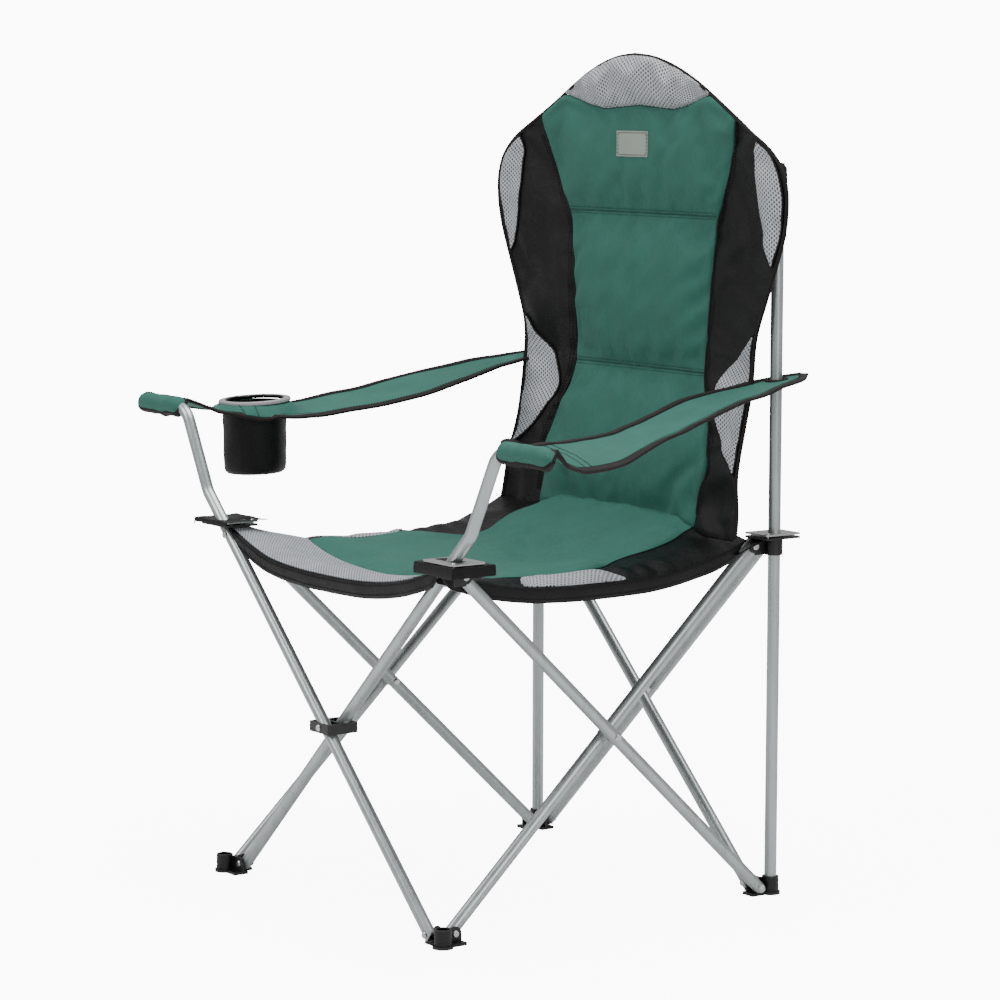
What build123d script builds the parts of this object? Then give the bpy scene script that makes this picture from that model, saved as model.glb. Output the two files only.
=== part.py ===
from build123d import *
from math import atan2, cos, degrees, radians, sin
import os

# Folding camp chair: a square frame of four scissor pairs, two sliding uprights, slung fabric.
# Frame: +Z up, the sitter faces -Y, origin on the floor under the centre of the whole chair.
# The frame has quarter-turn symmetry: side 0 is +X, 1 is +Y (rear), 2 is -X and 3 is -Y (front),
# and corner k is the one where side k meets side k + 1. On every side the pole that starts at
# corner k runs outside the joint walls, and the other pole of the pair runs inside them.

# ---- driving dimensions, mm ----
PIVOT_SPAN = 468.0  # between the two lower pivots of one side
PIVOT_RISE = 443.0  # lower pivots to upper pivots
PIVOT_Z = 13.0  # height of the lower pivots
WALL = 249.0  # chair centre to the mid-plane of a joint wall
WALL_T = 3.0
EAR_R = 9.0  # rounded end of a joint wall
POLE_R = 8.0
POLE_T = 1.2
OUTER_OFFSET = 12.0  # mid-plane of a joint wall to the axis of the pole outside it
INNER_OFFSET = 10.0  # mid-plane of a joint wall to the axis of the pole inside it
UPRIGHT = 258.0  # chair centre to an upright's axis, in x and in y
UPRIGHT_TOP = 940.0
PLUG_R = 6.75
PLUG_LENGTH = 20.0
CAP_T = 2.5
RIVET_R = 2.5
RIVET_FIT = 0.05
RIVET_HEAD_R = 4.5
RIVET_TAIL_R = 3.3  # small closed end of a blind rivet
RIVET_HEAD_T = 1.8
HEAD_GAP = 0.1
SOCKET_R = 11.0
SOCKET_FIT = 0.1
SOCKET_H = 24.0
FOOT_WALL_H = 21.0
FOOT_R = 13.0
FOOT_T = 4.0
SLIDE_FIT = 0.3  # slider bore over the upright
FLANGE_Z = 467.0  # underside of the corner flanges that carry the seat
FLANGE_T = 2.5
FITTING_Z = 445.0  # lowest point of the upper fittings
PLATE_Z = 472.0  # underside of the plates that clamp the seat fabric
PLATE_T = 2.0
SCREW_R = 1.6
POST_BEND = (289.0, 508.0)  # sideways, up
POST_TOP = (346.0, 615.0)
POST_TIP = 444.0
HUB_SIZE = (47.0, 45.0, 13.0)
HUB_SLOT = (39.0, 17.0)
SPACER_R = 7.0
SEAT_T = 3.0
SEAT_MIDDLE_Z = 404.0
BACK_TOP = 1082.0
BACK_SEAM_Z = 664.0  # between the lower and the upper back panels
BACK_BOTTOM_Z = 478.0
BACK_T = 4.0
BACK_HALF_WIDTH = 248.0  # at the seam and below it
CENTRE_GAP = 0.4  # half the gap between the left and right halves of the back
ARM_T = 3.0
ARM_Z = (606.0, 622.0, 662.0)  # front, middle, rear
ARM_MIDDLE_Y = 20.0
SLEEVE_R = 11.0
CUP_CENTRE = (-360.0, -145.0)
CUP_OPENING_R = 39.0
CUP_RING_R = 49.0
CUP_RING_T = 5.0
POUCH_R = 44.5
POUCH_BOTTOM_R = 42.0
POUCH_DEPTH = 92.0
POUCH_T = 2.0
REAR_REACH = 300.0  # rear tips of the armrests
FRONT_REACH = 276.0  # front edge of the front left corner plate

SPAN = PIVOT_SPAN / 2
TOP_Z = PIVOT_Z + PIVOT_RISE
CROSS_Z = PIVOT_Z + PIVOT_RISE / 2
LEAN = degrees(atan2(PIVOT_SPAN, PIVOT_RISE))  # pole angle from vertical
POLE_LENGTH = (PIVOT_SPAN**2 + PIVOT_RISE**2) ** 0.5
OUTER = WALL + OUTER_OFFSET
INNER = WALL - INNER_OFFSET
MIDWAY = (OUTER + INNER) / 2
WALL_IN = WALL - WALL_T / 2
WALL_OUT = WALL + WALL_T / 2
HOLE_R = RIVET_R + RIVET_FIT
SHIFT_Y = (FRONT_REACH - REAR_REACH) / 2  # centres the whole chair on the origin
EAR_FACE = OUTER + POLE_R + 0.5  # inner face of the outside ear at the front right corner
SIDE_NAMES = ["right", "rear", "left", "front"]
CORNERS = ["rear_right", "rear_left", "front_left", "front_right"]

os.makedirs("parts", exist_ok=True)


def save(builder, label):
    """Label a finished sub-part and write it."""
    builder.part.label = label
    export_step(builder.part, f"parts/{label}.step")


def ground(corner, height=0.0):
    """Horizontal plane in which the given corner has positive coordinates."""
    turn = radians(90 * corner)
    return Plane(origin=(0, SHIFT_Y, height), x_dir=(cos(turn), sin(turn), 0), z_dir=(0, 0, 1))


def side(index, reach):
    """Upright plane of one side: x runs towards the corner of that side, y up, z outward."""
    turn = radians(90 * index)
    out = Vector(cos(turn), sin(turn), 0)
    return Plane(
        origin=Vector(0, SHIFT_Y, 0) + out * reach,
        x_dir=(-sin(turn), cos(turn), 0),
        z_dir=out,
    )


def spot(index, reach, along, height):
    """Point given by its distances from the chair centre, along a side and above the floor."""
    return side(index, reach).from_local_coords((along, height, 0))


def rivet_solid(start, out, radial, length, head=RIVET_HEAD_R, tail=RIVET_HEAD_R):
    """Rivet with a chamfered head at each end; it clamps the given length from start."""
    rim = RIVET_HEAD_T / 2
    with BuildPart(mode=Mode.PRIVATE) as fastener:
        with BuildSketch(Plane(origin=start, x_dir=radial, z_dir=Vector(radial).cross(Vector(out)))):
            with BuildLine():
                Polyline(
                    (0, -RIVET_HEAD_T),
                    (tail - rim, -RIVET_HEAD_T),
                    (tail, -rim),
                    (tail, 0),
                    (RIVET_R, 0),
                    (RIVET_R, length),
                    (head, length),
                    (head, length + rim),
                    (head - rim, length + RIVET_HEAD_T),
                    (0, length + RIVET_HEAD_T),
                    close=True,
                )
            make_face()
        revolve(axis=Axis(start, out))
    return fastener.part


def rivet(index, along, height, inside, outside, tail=RIVET_HEAD_R):
    """Rivet through one side, between the two surfaces that it clamps."""
    start = spot(index, inside - HEAD_GAP, along, height)
    out = side(index, 0).z_dir
    length = outside - inside + 2 * HEAD_GAP
    return rivet_solid(start, out, (0, 0, 1), length, tail=tail)


def screw(corner, x, y):
    """Screw that clamps a seat plate, the fabric and a corner flange."""
    start = ground(corner, FLANGE_Z - HEAD_GAP).from_local_coords((x, y, 0))
    with BuildPart(mode=Mode.PRIVATE) as fastener:
        with BuildSketch(Plane(start)):
            Circle(SCREW_R - RIVET_FIT)
        extrude(amount=PLATE_Z + PLATE_T - FLANGE_Z + 2 * HEAD_GAP)
        with BuildSketch(Plane(start + Vector(0, 0, PLATE_Z + PLATE_T - FLANGE_Z + 2 * HEAD_GAP))):
            Circle(2 * SCREW_R)
        extrude(amount=SCREW_R, taper=25)
    return fastener.part


def joint_wall(index, toward, reach, pivot_z, root_z, free_z, run):
    """Wall with a rounded free end about its pivot; it widens towards root_z and the corner."""
    with BuildPart(mode=Mode.PRIVATE) as wall:
        with BuildSketch(side(index, reach)):
            with Locations((toward * SPAN, pivot_z)):
                Circle(EAR_R)
            with Locations((toward * SPAN, (pivot_z + root_z) / 2)):
                Rectangle(2 * EAR_R, abs(root_z - pivot_z))
            with Locations((toward * (SPAN + run / 2), (root_z + free_z) / 2)):
                Rectangle(run, abs(root_z - free_z))
            with Locations((toward * SPAN, pivot_z)):
                Circle(HOLE_R, mode=Mode.SUBTRACT)
        extrude(amount=WALL_T)
    return wall.part


def slab(points, thickness):
    """Flat sheet through the points, with its thickness straight up."""
    outline = Wire.make_polygon([Vector(*p) for p in points], close=True)
    return Solid.extrude(Face(outline), Vector(0, 0, thickness))


# ---- feet: one moulding at each corner ----
FOOT_STRIP = FOOT_R * 1.6
for corner, name in enumerate(CORNERS):
    with BuildPart() as foot:
        with BuildSketch(ground(corner)):
            with Locations((UPRIGHT, UPRIGHT)):
                Circle(FOOT_R)
            strip = UPRIGHT - SPAN + EAR_R
            with Locations((WALL + 3, UPRIGHT - strip / 2)):
                Rectangle(FOOT_STRIP, strip)
            with Locations((UPRIGHT - strip / 2, WALL + 3)):
                Rectangle(strip, FOOT_STRIP)
        extrude(amount=FOOT_T)
        with BuildSketch(ground(corner)):
            with Locations((UPRIGHT, UPRIGHT)):
                Circle(SOCKET_R)
        extrude(amount=SOCKET_H)
        wall_run = UPRIGHT - SPAN - 4
        add(joint_wall(corner, 1, WALL_IN, PIVOT_Z, 0, FOOT_WALL_H, wall_run))
        add(joint_wall(corner + 1, -1, WALL_IN, PIVOT_Z, 0, FOOT_WALL_H, wall_run))
        with BuildSketch(ground(corner, FOOT_T)):
            with Locations((UPRIGHT, UPRIGHT)):
                Circle(POLE_R + SOCKET_FIT)
        extrude(amount=SOCKET_H, mode=Mode.SUBTRACT)
        chamfer(foot.edges().group_by(Axis.Z)[-1], 0.6)
    save(foot, f"foot_{name}")

    with BuildPart() as pivots:
        add(rivet(corner, SPAN, PIVOT_Z, WALL_IN, OUTER + POLE_R))
        add(rivet(corner + 1, -SPAN, PIVOT_Z, INNER - POLE_R, WALL_OUT))
    save(pivots, f"rivets_foot_{name}")

# ---- uprights with their top caps ----
for corner in (0, 1):
    name = SIDE_NAMES[2 * corner]
    with BuildPart() as upright:
        with BuildSketch(ground(corner, FOOT_T + HEAD_GAP)):
            with Locations((UPRIGHT, UPRIGHT)):
                Circle(POLE_R)
                Circle(POLE_R - POLE_T, mode=Mode.SUBTRACT)
        extrude(amount=UPRIGHT_TOP - FOOT_T - HEAD_GAP)
    save(upright, f"upright_{name}")

    with BuildPart() as cap:
        with BuildSketch(ground(corner, UPRIGHT_TOP - PLUG_LENGTH)):
            with Locations((UPRIGHT, UPRIGHT)):
                Circle(PLUG_R)
        extrude(amount=PLUG_LENGTH)
        with BuildSketch(ground(corner, UPRIGHT_TOP)):
            with Locations((UPRIGHT, UPRIGHT)):
                Circle(POLE_R)
        extrude(amount=CAP_T)
        fillet(cap.edges().group_by(Axis.Z)[-1], 2.0)
    save(cap, f"upright_cap_{name}")


# ---- straight scissor poles on the right, rear and left sides ----
def pole_ends(toward):
    """Lower and upper pivot of a pole whose foot is at toward * SPAN, in its side's plane."""
    return (toward * SPAN, PIVOT_Z), (-toward * SPAN, TOP_Z)


def pole_section(index, reach, toward, at_top):
    """Plane square to a pole, a pole radius beyond one of its pivots, facing along the pole."""
    plane = side(index, reach)
    low, high = (plane.from_local_coords(p) for p in pole_ends(toward))
    axis = (high - low).normalized()
    if at_top:
        return Plane(origin=high + axis * POLE_R, z_dir=axis * -1)
    return Plane(origin=low - axis * POLE_R, z_dir=axis)


def pole_outline(toward):
    """Pole seen from the side: rounded ends about the two end pivots."""
    with Locations((0, CROSS_Z)):
        SlotCenterToCenter(POLE_LENGTH, 2 * POLE_R, rotation=90 + toward * LEAN)


for index in (0, 1, 2):
    for kind, reach, toward in (("outer", OUTER, 1), ("inner", INNER, -1)):
        low, high = pole_ends(toward)
        with BuildPart() as pole:
            with BuildSketch(side(index, reach)):
                pole_outline(toward)
            extrude(amount=POLE_R, both=True)
            with BuildSketch(pole_section(index, reach, toward, False)):
                Circle(POLE_R)
                Circle(POLE_R - POLE_T, mode=Mode.SUBTRACT)
            extrude(amount=POLE_LENGTH + 2 * POLE_R, mode=Mode.INTERSECT)
            with BuildSketch(side(index, reach)):
                with Locations(low, (0, CROSS_Z), high):
                    Circle(HOLE_R)
            extrude(amount=POLE_R, both=True, mode=Mode.SUBTRACT)
        save(pole, f"pole_{SIDE_NAMES[index]}_{kind}")

        with BuildPart() as plugs:
            for at_top in (False, True):
                with BuildSketch(pole_section(index, reach, toward, at_top)):
                    Circle(PLUG_R)
                extrude(amount=PLUG_LENGTH)
            with BuildSketch(side(index, reach)):
                pole_outline(toward)
            extrude(amount=POLE_R, both=True, mode=Mode.INTERSECT)
            with BuildSketch(side(index, reach)):
                with Locations(low, high):
                    Circle(HOLE_R)
            extrude(amount=POLE_R, both=True, mode=Mode.SUBTRACT)
        save(plugs, f"end_plugs_{SIDE_NAMES[index]}_{kind}")

    with BuildPart() as crossing:
        add(rivet(index, 0, CROSS_Z, INNER - POLE_R, OUTER + POLE_R))
        with BuildSketch(side(index, INNER + POLE_R + 2 * HEAD_GAP)):
            with Locations((0, CROSS_Z)):
                Circle(SPACER_R)
                Circle(HOLE_R, mode=Mode.SUBTRACT)
        extrude(amount=OUTER - INNER - 2 * POLE_R - 4 * HEAD_GAP)
    save(crossing, f"crossing_joint_{SIDE_NAMES[index]}")

# ---- front poles: they cross at the hub and run on as the armrest posts ----
for name, reach, toward in (("left", OUTER, 1), ("right", INNER, -1)):
    low, high = pole_ends(toward)
    front = side(3, reach)
    with BuildPart() as post:
        with BuildLine(front) as post_path:
            FilletPolyline(
                (
                    low[0] + toward * POLE_R * sin(radians(LEAN)),
                    low[1] - POLE_R * cos(radians(LEAN)),
                ),
                (-toward * POST_BEND[0], POST_BEND[1]),
                (-toward * POST_TOP[0], POST_TOP[1]),
                (-toward * POST_TIP, POST_TOP[1]),
                radius=32,
            )
        route = post_path.wires()[0]
        with BuildSketch(Plane(origin=route @ 0, z_dir=route % 0)):
            Circle(POLE_R)
            Circle(POLE_R - POLE_T, mode=Mode.SUBTRACT)
        sweep(path=route)
        with BuildSketch(front):
            with Locations(Location((low[0], low[1]), toward * LEAN)):
                Rectangle(3 * POLE_R, 2 * POLE_R, align=(Align.CENTER, Align.MAX))
                Circle(POLE_R, mode=Mode.SUBTRACT)
        extrude(amount=POLE_R, both=True, mode=Mode.SUBTRACT)
        with BuildSketch(front):
            with Locations(low, (0, CROSS_Z), high):
                Circle(HOLE_R)
        extrude(amount=POLE_R, both=True, mode=Mode.SUBTRACT)
    save(post, f"front_post_{name}")

    with BuildPart() as plugs:
        with BuildSketch(pole_section(3, reach, toward, False)):
            Circle(PLUG_R)
        extrude(amount=PLUG_LENGTH)
        with BuildSketch(front):
            pole_outline(toward)
        extrude(amount=POLE_R, both=True, mode=Mode.INTERSECT)
        with BuildSketch(front):
            with Locations(low):
                Circle(HOLE_R)
        extrude(amount=POLE_R, both=True, mode=Mode.SUBTRACT)
        tip = front.from_local_coords((-toward * POST_TIP, POST_TOP[1], 0))
        with BuildSketch(Plane(origin=tip, z_dir=(toward, 0, 0))):
            Circle(PLUG_R)
        extrude(amount=PLUG_LENGTH)
        with BuildSketch(Plane(origin=tip, z_dir=(-toward, 0, 0))):
            Circle(POLE_R)
        extrude(amount=CAP_T, taper=20)
    save(plugs, f"post_plugs_{name}")

with BuildPart() as hub:
    with BuildSketch(Plane(origin=(0, SHIFT_Y - MIDWAY, CROSS_Z - HUB_SIZE[2] / 2))):
        RectangleRounded(HUB_SIZE[0], HUB_SIZE[1], 3)
        with Locations((0, MIDWAY - INNER), (0, MIDWAY - OUTER)):
            Rectangle(*HUB_SLOT, mode=Mode.SUBTRACT)
    extrude(amount=HUB_SIZE[2])
    with BuildSketch(side(3, MIDWAY)):
        with Locations((0, CROSS_Z)):
            Circle(HOLE_R)
    extrude(amount=HUB_SIZE[1], both=True, mode=Mode.SUBTRACT)
save(hub, "hub")

with BuildPart() as hub_rivet:
    add(rivet(3, 0, CROSS_Z, MIDWAY - HUB_SIZE[1] / 2, MIDWAY + HUB_SIZE[1] / 2))
save(hub_rivet, "hub_rivet")

# ---- upper fittings: sliders on the uprights at the rear, corner blocks at the front ----
# Flange centres, sizes, post slots and screws are in the corner's own axes, as in ground().
FLANGE_CENTRES = [(257, 256), (257, 256), (251, 251), (237, 251)]
FLANGE_SIZES = [(47, 57), (47, 57), (66, 50), (50, 66)]
POST_SLOTS = {2: ((245, OUTER), (46, 18.4)), 3: ((INNER, 245), (18.4, 46))}
SCREW_SPOTS = [
    ((240, 278), (274, 234)),
    ((240, 278), (274, 234)),
    ((278, 270), (224, 232)),
    ((218, 224), (256, 278)),
]
FITTING_NAMES = ["slider_right", "slider_left", "corner_front_left", "corner_front_right"]


def flange_outline(corner, slide_r):
    """Rounded flange with its screw holes, and its hole for the upright or slot for the post."""
    with Locations(FLANGE_CENTRES[corner]):
        RectangleRounded(*FLANGE_SIZES[corner], 4)
    with Locations(*SCREW_SPOTS[corner]):
        Circle(SCREW_R, mode=Mode.SUBTRACT)
    if corner in POST_SLOTS:
        centre, size = POST_SLOTS[corner]
        with Locations(centre):
            Rectangle(*size, mode=Mode.SUBTRACT)
    else:
        with Locations((UPRIGHT, UPRIGHT)):
            Circle(slide_r, mode=Mode.SUBTRACT)


for corner, name in enumerate(CORNERS):
    slide_r = POLE_R + SLIDE_FIT
    with BuildPart() as fitting:
        with BuildSketch(ground(corner, FLANGE_Z)):
            flange_outline(corner, slide_r)
        extrude(amount=FLANGE_T)
        if corner in POST_SLOTS:
            run = WALL_OUT - SPAN
        else:
            run = UPRIGHT - SPAN - 4
            with BuildSketch(ground(corner, FITTING_Z)):
                with Locations((UPRIGHT, UPRIGHT)):
                    Circle(SOCKET_R)
            extrude(amount=FLANGE_Z - FITTING_Z)
        add(joint_wall(corner, 1, WALL_IN, TOP_Z, FLANGE_Z, FITTING_Z, run))
        outer_reach = EAR_FACE if corner == 3 else WALL_IN
        add(joint_wall(corner + 1, -1, outer_reach, TOP_Z, FLANGE_Z, FITTING_Z, run))
        if corner not in POST_SLOTS:
            with BuildSketch(ground(corner, FITTING_Z)):
                with Locations((UPRIGHT, UPRIGHT)):
                    Circle(slide_r)
            extrude(amount=FLANGE_Z - FITTING_Z, mode=Mode.SUBTRACT)
    save(fitting, FITTING_NAMES[corner])

    with BuildPart() as plate:
        with BuildSketch(ground(corner, PLATE_Z)):
            flange_outline(corner, slide_r)
        extrude(amount=PLATE_T)
    save(plate, f"seat_plate_{name}")

    with BuildPart() as fasteners:
        add(rivet(corner, SPAN, TOP_Z, INNER - POLE_R, WALL_OUT))
        if corner == 3:
            add(rivet(0, -SPAN, TOP_Z, OUTER - POLE_R, EAR_FACE + WALL_T, tail=RIVET_TAIL_R))
        else:
            add(rivet(corner + 1, -SPAN, TOP_Z, WALL_IN, OUTER + POLE_R))
        for x, y in SCREW_SPOTS[corner]:
            add(screw(corner, x, y))
    save(fasteners, f"fasteners_{name}")

# ---- seat: four slung panels that meet at the middle ----
# For each side: reach and height of the edge's ends and middle, and how far the ends lie
# along the side, from the corner before it to the corner after it.
SEAT_EDGES = {
    "right": (0, (262, -199, 457), (257, 0, 424), (250, 184, 464)),
    "rear": (1, (206, -199, 464), (205, 0, 470), (206, 199, 464)),
    "left": (2, (250, -184, 464), (257, 0, 424), (262, 199, 457)),
    "front": (3, (262, -198, 457), (264, 0, 430), (262, 198, 457)),
}
for name, (index, start, middle, end) in SEAT_EDGES.items():
    centre = spot(index, 1, 0, SEAT_MIDDLE_Z)
    edge = [spot(index, *p) for p in (start, middle, end)]
    with BuildPart() as panel:
        add(slab([edge[0], edge[1], centre], SEAT_T))
        add(slab([edge[1], edge[2], centre], SEAT_T))
    save(panel, f"seat_{name}")

# ---- back: upper halves hung on the uprights, lower halves hung on the sliders ----
BACK_Y = {BACK_TOP: 226.0, 900.0: 238.0, BACK_SEAM_Z: 238.0, BACK_BOTTOM_Z: 200.0}
for name, sign in (("right", 1), ("left", -1)):
    with BuildPart() as upper:
        profile = [(BACK_Y[z], z) for z in (BACK_TOP, 900.0, BACK_SEAM_Z)]
        with BuildSketch(Plane(origin=(0, SHIFT_Y, 0), x_dir=(0, 1, 0), z_dir=(1, 0, 0))):
            with BuildLine():
                Polyline(*profile, *((y + BACK_T, z) for y, z in reversed(profile)), close=True)
            make_face()
        extrude(amount=400, both=True)
        with BuildSketch(Plane(origin=(0, SHIFT_Y, 0), x_dir=(1, 0, 0), z_dir=(0, -1, 0))):
            with BuildLine():
                Spline(
                    (sign * CENTRE_GAP, BACK_TOP),
                    (sign * 150, 1048),
                    (sign * 250, 985),
                    (sign * 311, 905),
                    (sign * 296, 820),
                    (sign * BACK_HALF_WIDTH, BACK_SEAM_Z + CENTRE_GAP),
                )
                Polyline(
                    (sign * BACK_HALF_WIDTH, BACK_SEAM_Z + CENTRE_GAP),
                    (sign * CENTRE_GAP, BACK_SEAM_Z + CENTRE_GAP),
                    (sign * CENTRE_GAP, BACK_TOP),
                )
            make_face()
        extrude(amount=-400, mode=Mode.INTERSECT)
    save(upper, f"back_upper_{name}")

    top_y, bottom_y = BACK_Y[BACK_SEAM_Z], BACK_Y[BACK_BOTTOM_Z]
    with BuildPart() as lower:
        with BuildSketch(Plane(origin=(sign * CENTRE_GAP, SHIFT_Y, 0), x_dir=(0, 1, 0), z_dir=(1, 0, 0))):
            with BuildLine():
                Polyline(
                    (top_y, BACK_SEAM_Z),
                    (bottom_y, BACK_BOTTOM_Z),
                    (bottom_y + BACK_T, BACK_BOTTOM_Z),
                    (top_y + BACK_T, BACK_SEAM_Z),
                    close=True,
                )
            make_face()
        extrude(amount=sign * (BACK_HALF_WIDTH - CENTRE_GAP))
    save(lower, f"back_lower_{name}")

# ---- armrests: a front half on the post and a rear half on the slider ----
ARM_EDGES = {"front": (372.0, 458.0), "middle": (286.0, 382.0), "rear": (252.0, 300.0)}
ARM_NOTCH_Y = 226.0  # the inner edge steps out here to pass the back
ARM_NOTCH_X = 228.0  # half distance between the inner edges just before that step
ARM_MEET = 0.5  # gap between the two halves of an armrest
ARM_HOLE_R = POLE_R + 4  # hole around the upright
SLEEVE_START, SLEEVE_END = 368.0, 458.0  # the sleeve's ends, across the chair
SLEEVE_BORE_R = POLE_R + 0.6
SLEEVE_END_T = 3.0  # closed outer end of the sleeve
front_z, middle_z, rear_z = ARM_Z
arm_slope = (middle_z - front_z) / (ARM_MIDDLE_Y + OUTER - SLEEVE_R / 3)
cup_z = front_z + arm_slope * (CUP_CENTRE[1] + OUTER - SLEEVE_R / 3)
cup_origin = Vector(CUP_CENTRE[0], CUP_CENTRE[1] + SHIFT_Y, cup_z)
cup_normal = Vector(0, -arm_slope, 1).normalized()


def arm_rear_point(sign, x, y):
    """Point on the underside of the rear half of an armrest."""
    rise = (rear_z - middle_z) / (UPRIGHT - ARM_MIDDLE_Y)
    return (sign * x, SHIFT_Y + y, middle_z + rise * (y - ARM_MIDDLE_Y))


def cup_plane(height):
    """Plane parallel to the left armrest, at a height over its underside at the cup."""
    return Plane(origin=cup_origin + cup_normal * height, x_dir=(1, 0, 0), z_dir=cup_normal)


for name, sign, reach in (("right", 1, INNER), ("left", -1, OUTER)):
    tube_y = SHIFT_Y - reach
    front_y = tube_y + SLEEVE_R / 3
    middle_y = SHIFT_Y + ARM_MIDDLE_Y
    with BuildPart() as arm_front:
        outline = [
            (sign * ARM_EDGES["front"][0], front_y, front_z),
            (sign * ARM_EDGES["front"][1], front_y, front_z),
            (sign * ARM_EDGES["middle"][1], middle_y, middle_z),
            (sign * ARM_EDGES["middle"][0], middle_y, middle_z),
        ]
        add(slab(outline, ARM_T))
        with BuildSketch(Plane(origin=(sign * SLEEVE_START, tube_y, POST_TOP[1]), z_dir=(sign, 0, 0))):
            Circle(SLEEVE_R)
        extrude(amount=SLEEVE_END - SLEEVE_START)
        with BuildSketch(Plane(origin=(sign * SLEEVE_START, tube_y, POST_TOP[1]), z_dir=(sign, 0, 0))):
            Circle(SLEEVE_BORE_R)
        extrude(amount=SLEEVE_END - SLEEVE_START - SLEEVE_END_T, mode=Mode.SUBTRACT)
        if sign < 0:
            with BuildSketch(cup_plane(-10)):
                Circle(CUP_OPENING_R)
            extrude(amount=20, mode=Mode.SUBTRACT)
    save(arm_front, f"arm_front_{name}")

    with BuildPart() as arm_rear:
        outline = [
            arm_rear_point(sign, ARM_EDGES["middle"][0], ARM_MIDDLE_Y + ARM_MEET),
            arm_rear_point(sign, ARM_EDGES["middle"][1], ARM_MIDDLE_Y + ARM_MEET),
            arm_rear_point(sign, ARM_EDGES["rear"][1], REAR_REACH),
            arm_rear_point(sign, ARM_EDGES["rear"][0], REAR_REACH),
            arm_rear_point(sign, ARM_EDGES["rear"][0], ARM_NOTCH_Y),
            arm_rear_point(sign, ARM_NOTCH_X, ARM_NOTCH_Y),
        ]
        add(slab(outline, ARM_T))
        with BuildSketch(Plane(origin=(sign * UPRIGHT, SHIFT_Y + UPRIGHT, rear_z - 20))):
            Circle(ARM_HOLE_R)
        extrude(amount=40, mode=Mode.SUBTRACT)
    save(arm_rear, f"arm_rear_{name}")

# ---- cup holder in the left armrest ----
with BuildPart() as ring:
    with BuildSketch(cup_plane(ARM_T + 0.3)):
        Circle(CUP_RING_R)
        Circle(CUP_OPENING_R, mode=Mode.SUBTRACT)
    extrude(amount=CUP_RING_T)
    fillet(ring.edges(), 1.6)
save(ring, "cup_ring")

with BuildPart() as pouch:
    with BuildSketch(cup_plane(-0.3)):
        Circle(POUCH_R)
    with BuildSketch(cup_plane(-POUCH_DEPTH)):
        Circle(POUCH_BOTTOM_R)
    loft()
    with BuildSketch(cup_plane(-0.3)):
        Circle(POUCH_R - POUCH_T)
    with BuildSketch(cup_plane(POUCH_T - POUCH_DEPTH)):
        Circle(POUCH_BOTTOM_R - POUCH_T)
    loft(mode=Mode.SUBTRACT)
save(pouch, "cup_pouch")
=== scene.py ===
"""Folding camp chair: the fabric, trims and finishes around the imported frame."""

import math

import bpy
import numpy as np
from mathutils import Matrix, Vector
from mathutils.bvhtree import BVHTree


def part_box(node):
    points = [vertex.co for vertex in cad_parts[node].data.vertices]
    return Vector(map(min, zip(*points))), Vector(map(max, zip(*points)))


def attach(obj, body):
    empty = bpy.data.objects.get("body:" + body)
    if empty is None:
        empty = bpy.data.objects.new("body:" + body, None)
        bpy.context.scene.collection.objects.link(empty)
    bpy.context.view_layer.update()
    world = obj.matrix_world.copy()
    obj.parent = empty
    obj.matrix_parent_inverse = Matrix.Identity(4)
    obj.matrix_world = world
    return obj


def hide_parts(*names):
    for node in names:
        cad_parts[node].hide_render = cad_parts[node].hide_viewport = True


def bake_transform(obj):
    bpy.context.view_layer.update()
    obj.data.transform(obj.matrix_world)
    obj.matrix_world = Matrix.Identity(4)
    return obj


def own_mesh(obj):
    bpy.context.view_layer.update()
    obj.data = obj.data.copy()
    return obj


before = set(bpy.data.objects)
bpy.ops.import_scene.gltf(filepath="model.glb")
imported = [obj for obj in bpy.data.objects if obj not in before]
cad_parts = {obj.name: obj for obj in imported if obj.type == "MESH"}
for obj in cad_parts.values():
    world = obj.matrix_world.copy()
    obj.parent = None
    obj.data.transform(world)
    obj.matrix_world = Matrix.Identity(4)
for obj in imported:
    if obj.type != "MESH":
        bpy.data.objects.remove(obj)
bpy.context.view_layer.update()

# ---------------------------------------------------------------- the frame's own axes
# Cloth is drawn in millimetres around the vertical axis of the folding frame.
SIDES = {"right": 1, "left": -1}
TUBE_R = 8.0
CLEAR_OF_CHAIR = 0.7  # where a ray starts, in metres, on its way to the cloth


def middle(node):
    low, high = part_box(node)
    return np.array((low + high) / 2)


CENTRE_Y = middle("upright_right")[1] - middle("upright_right")[0]
UPRIGHT_X = middle("upright_right")[0] * 1000
UPRIGHT_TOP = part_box("upright_cap_right")[1][2] * 1000


def metres(points):
    """Millimetres around the frame's axis, as metres in the shared frame."""
    out = np.array(points, float) * 0.001
    out[..., 1] += CENTRE_Y
    return out


def from_frame(p):
    """A point in metres in the shared frame, as millimetres around the frame's axis."""
    return (np.array(p) - (0, CENTRE_Y, 0)) * 1000


def coords(*axes):
    """Points from their coordinates, which are spread to one shape."""
    return np.stack(np.broadcast_arrays(*axes), -1)


def ramp(value, low, high):
    """0 up to low, 1 from high on, and straight between them."""
    return np.clip((value - low) / (high - low), 0, 1)


def full_turn(count):
    return np.linspace(0, 2 * math.pi, count, endpoint=False)


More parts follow.
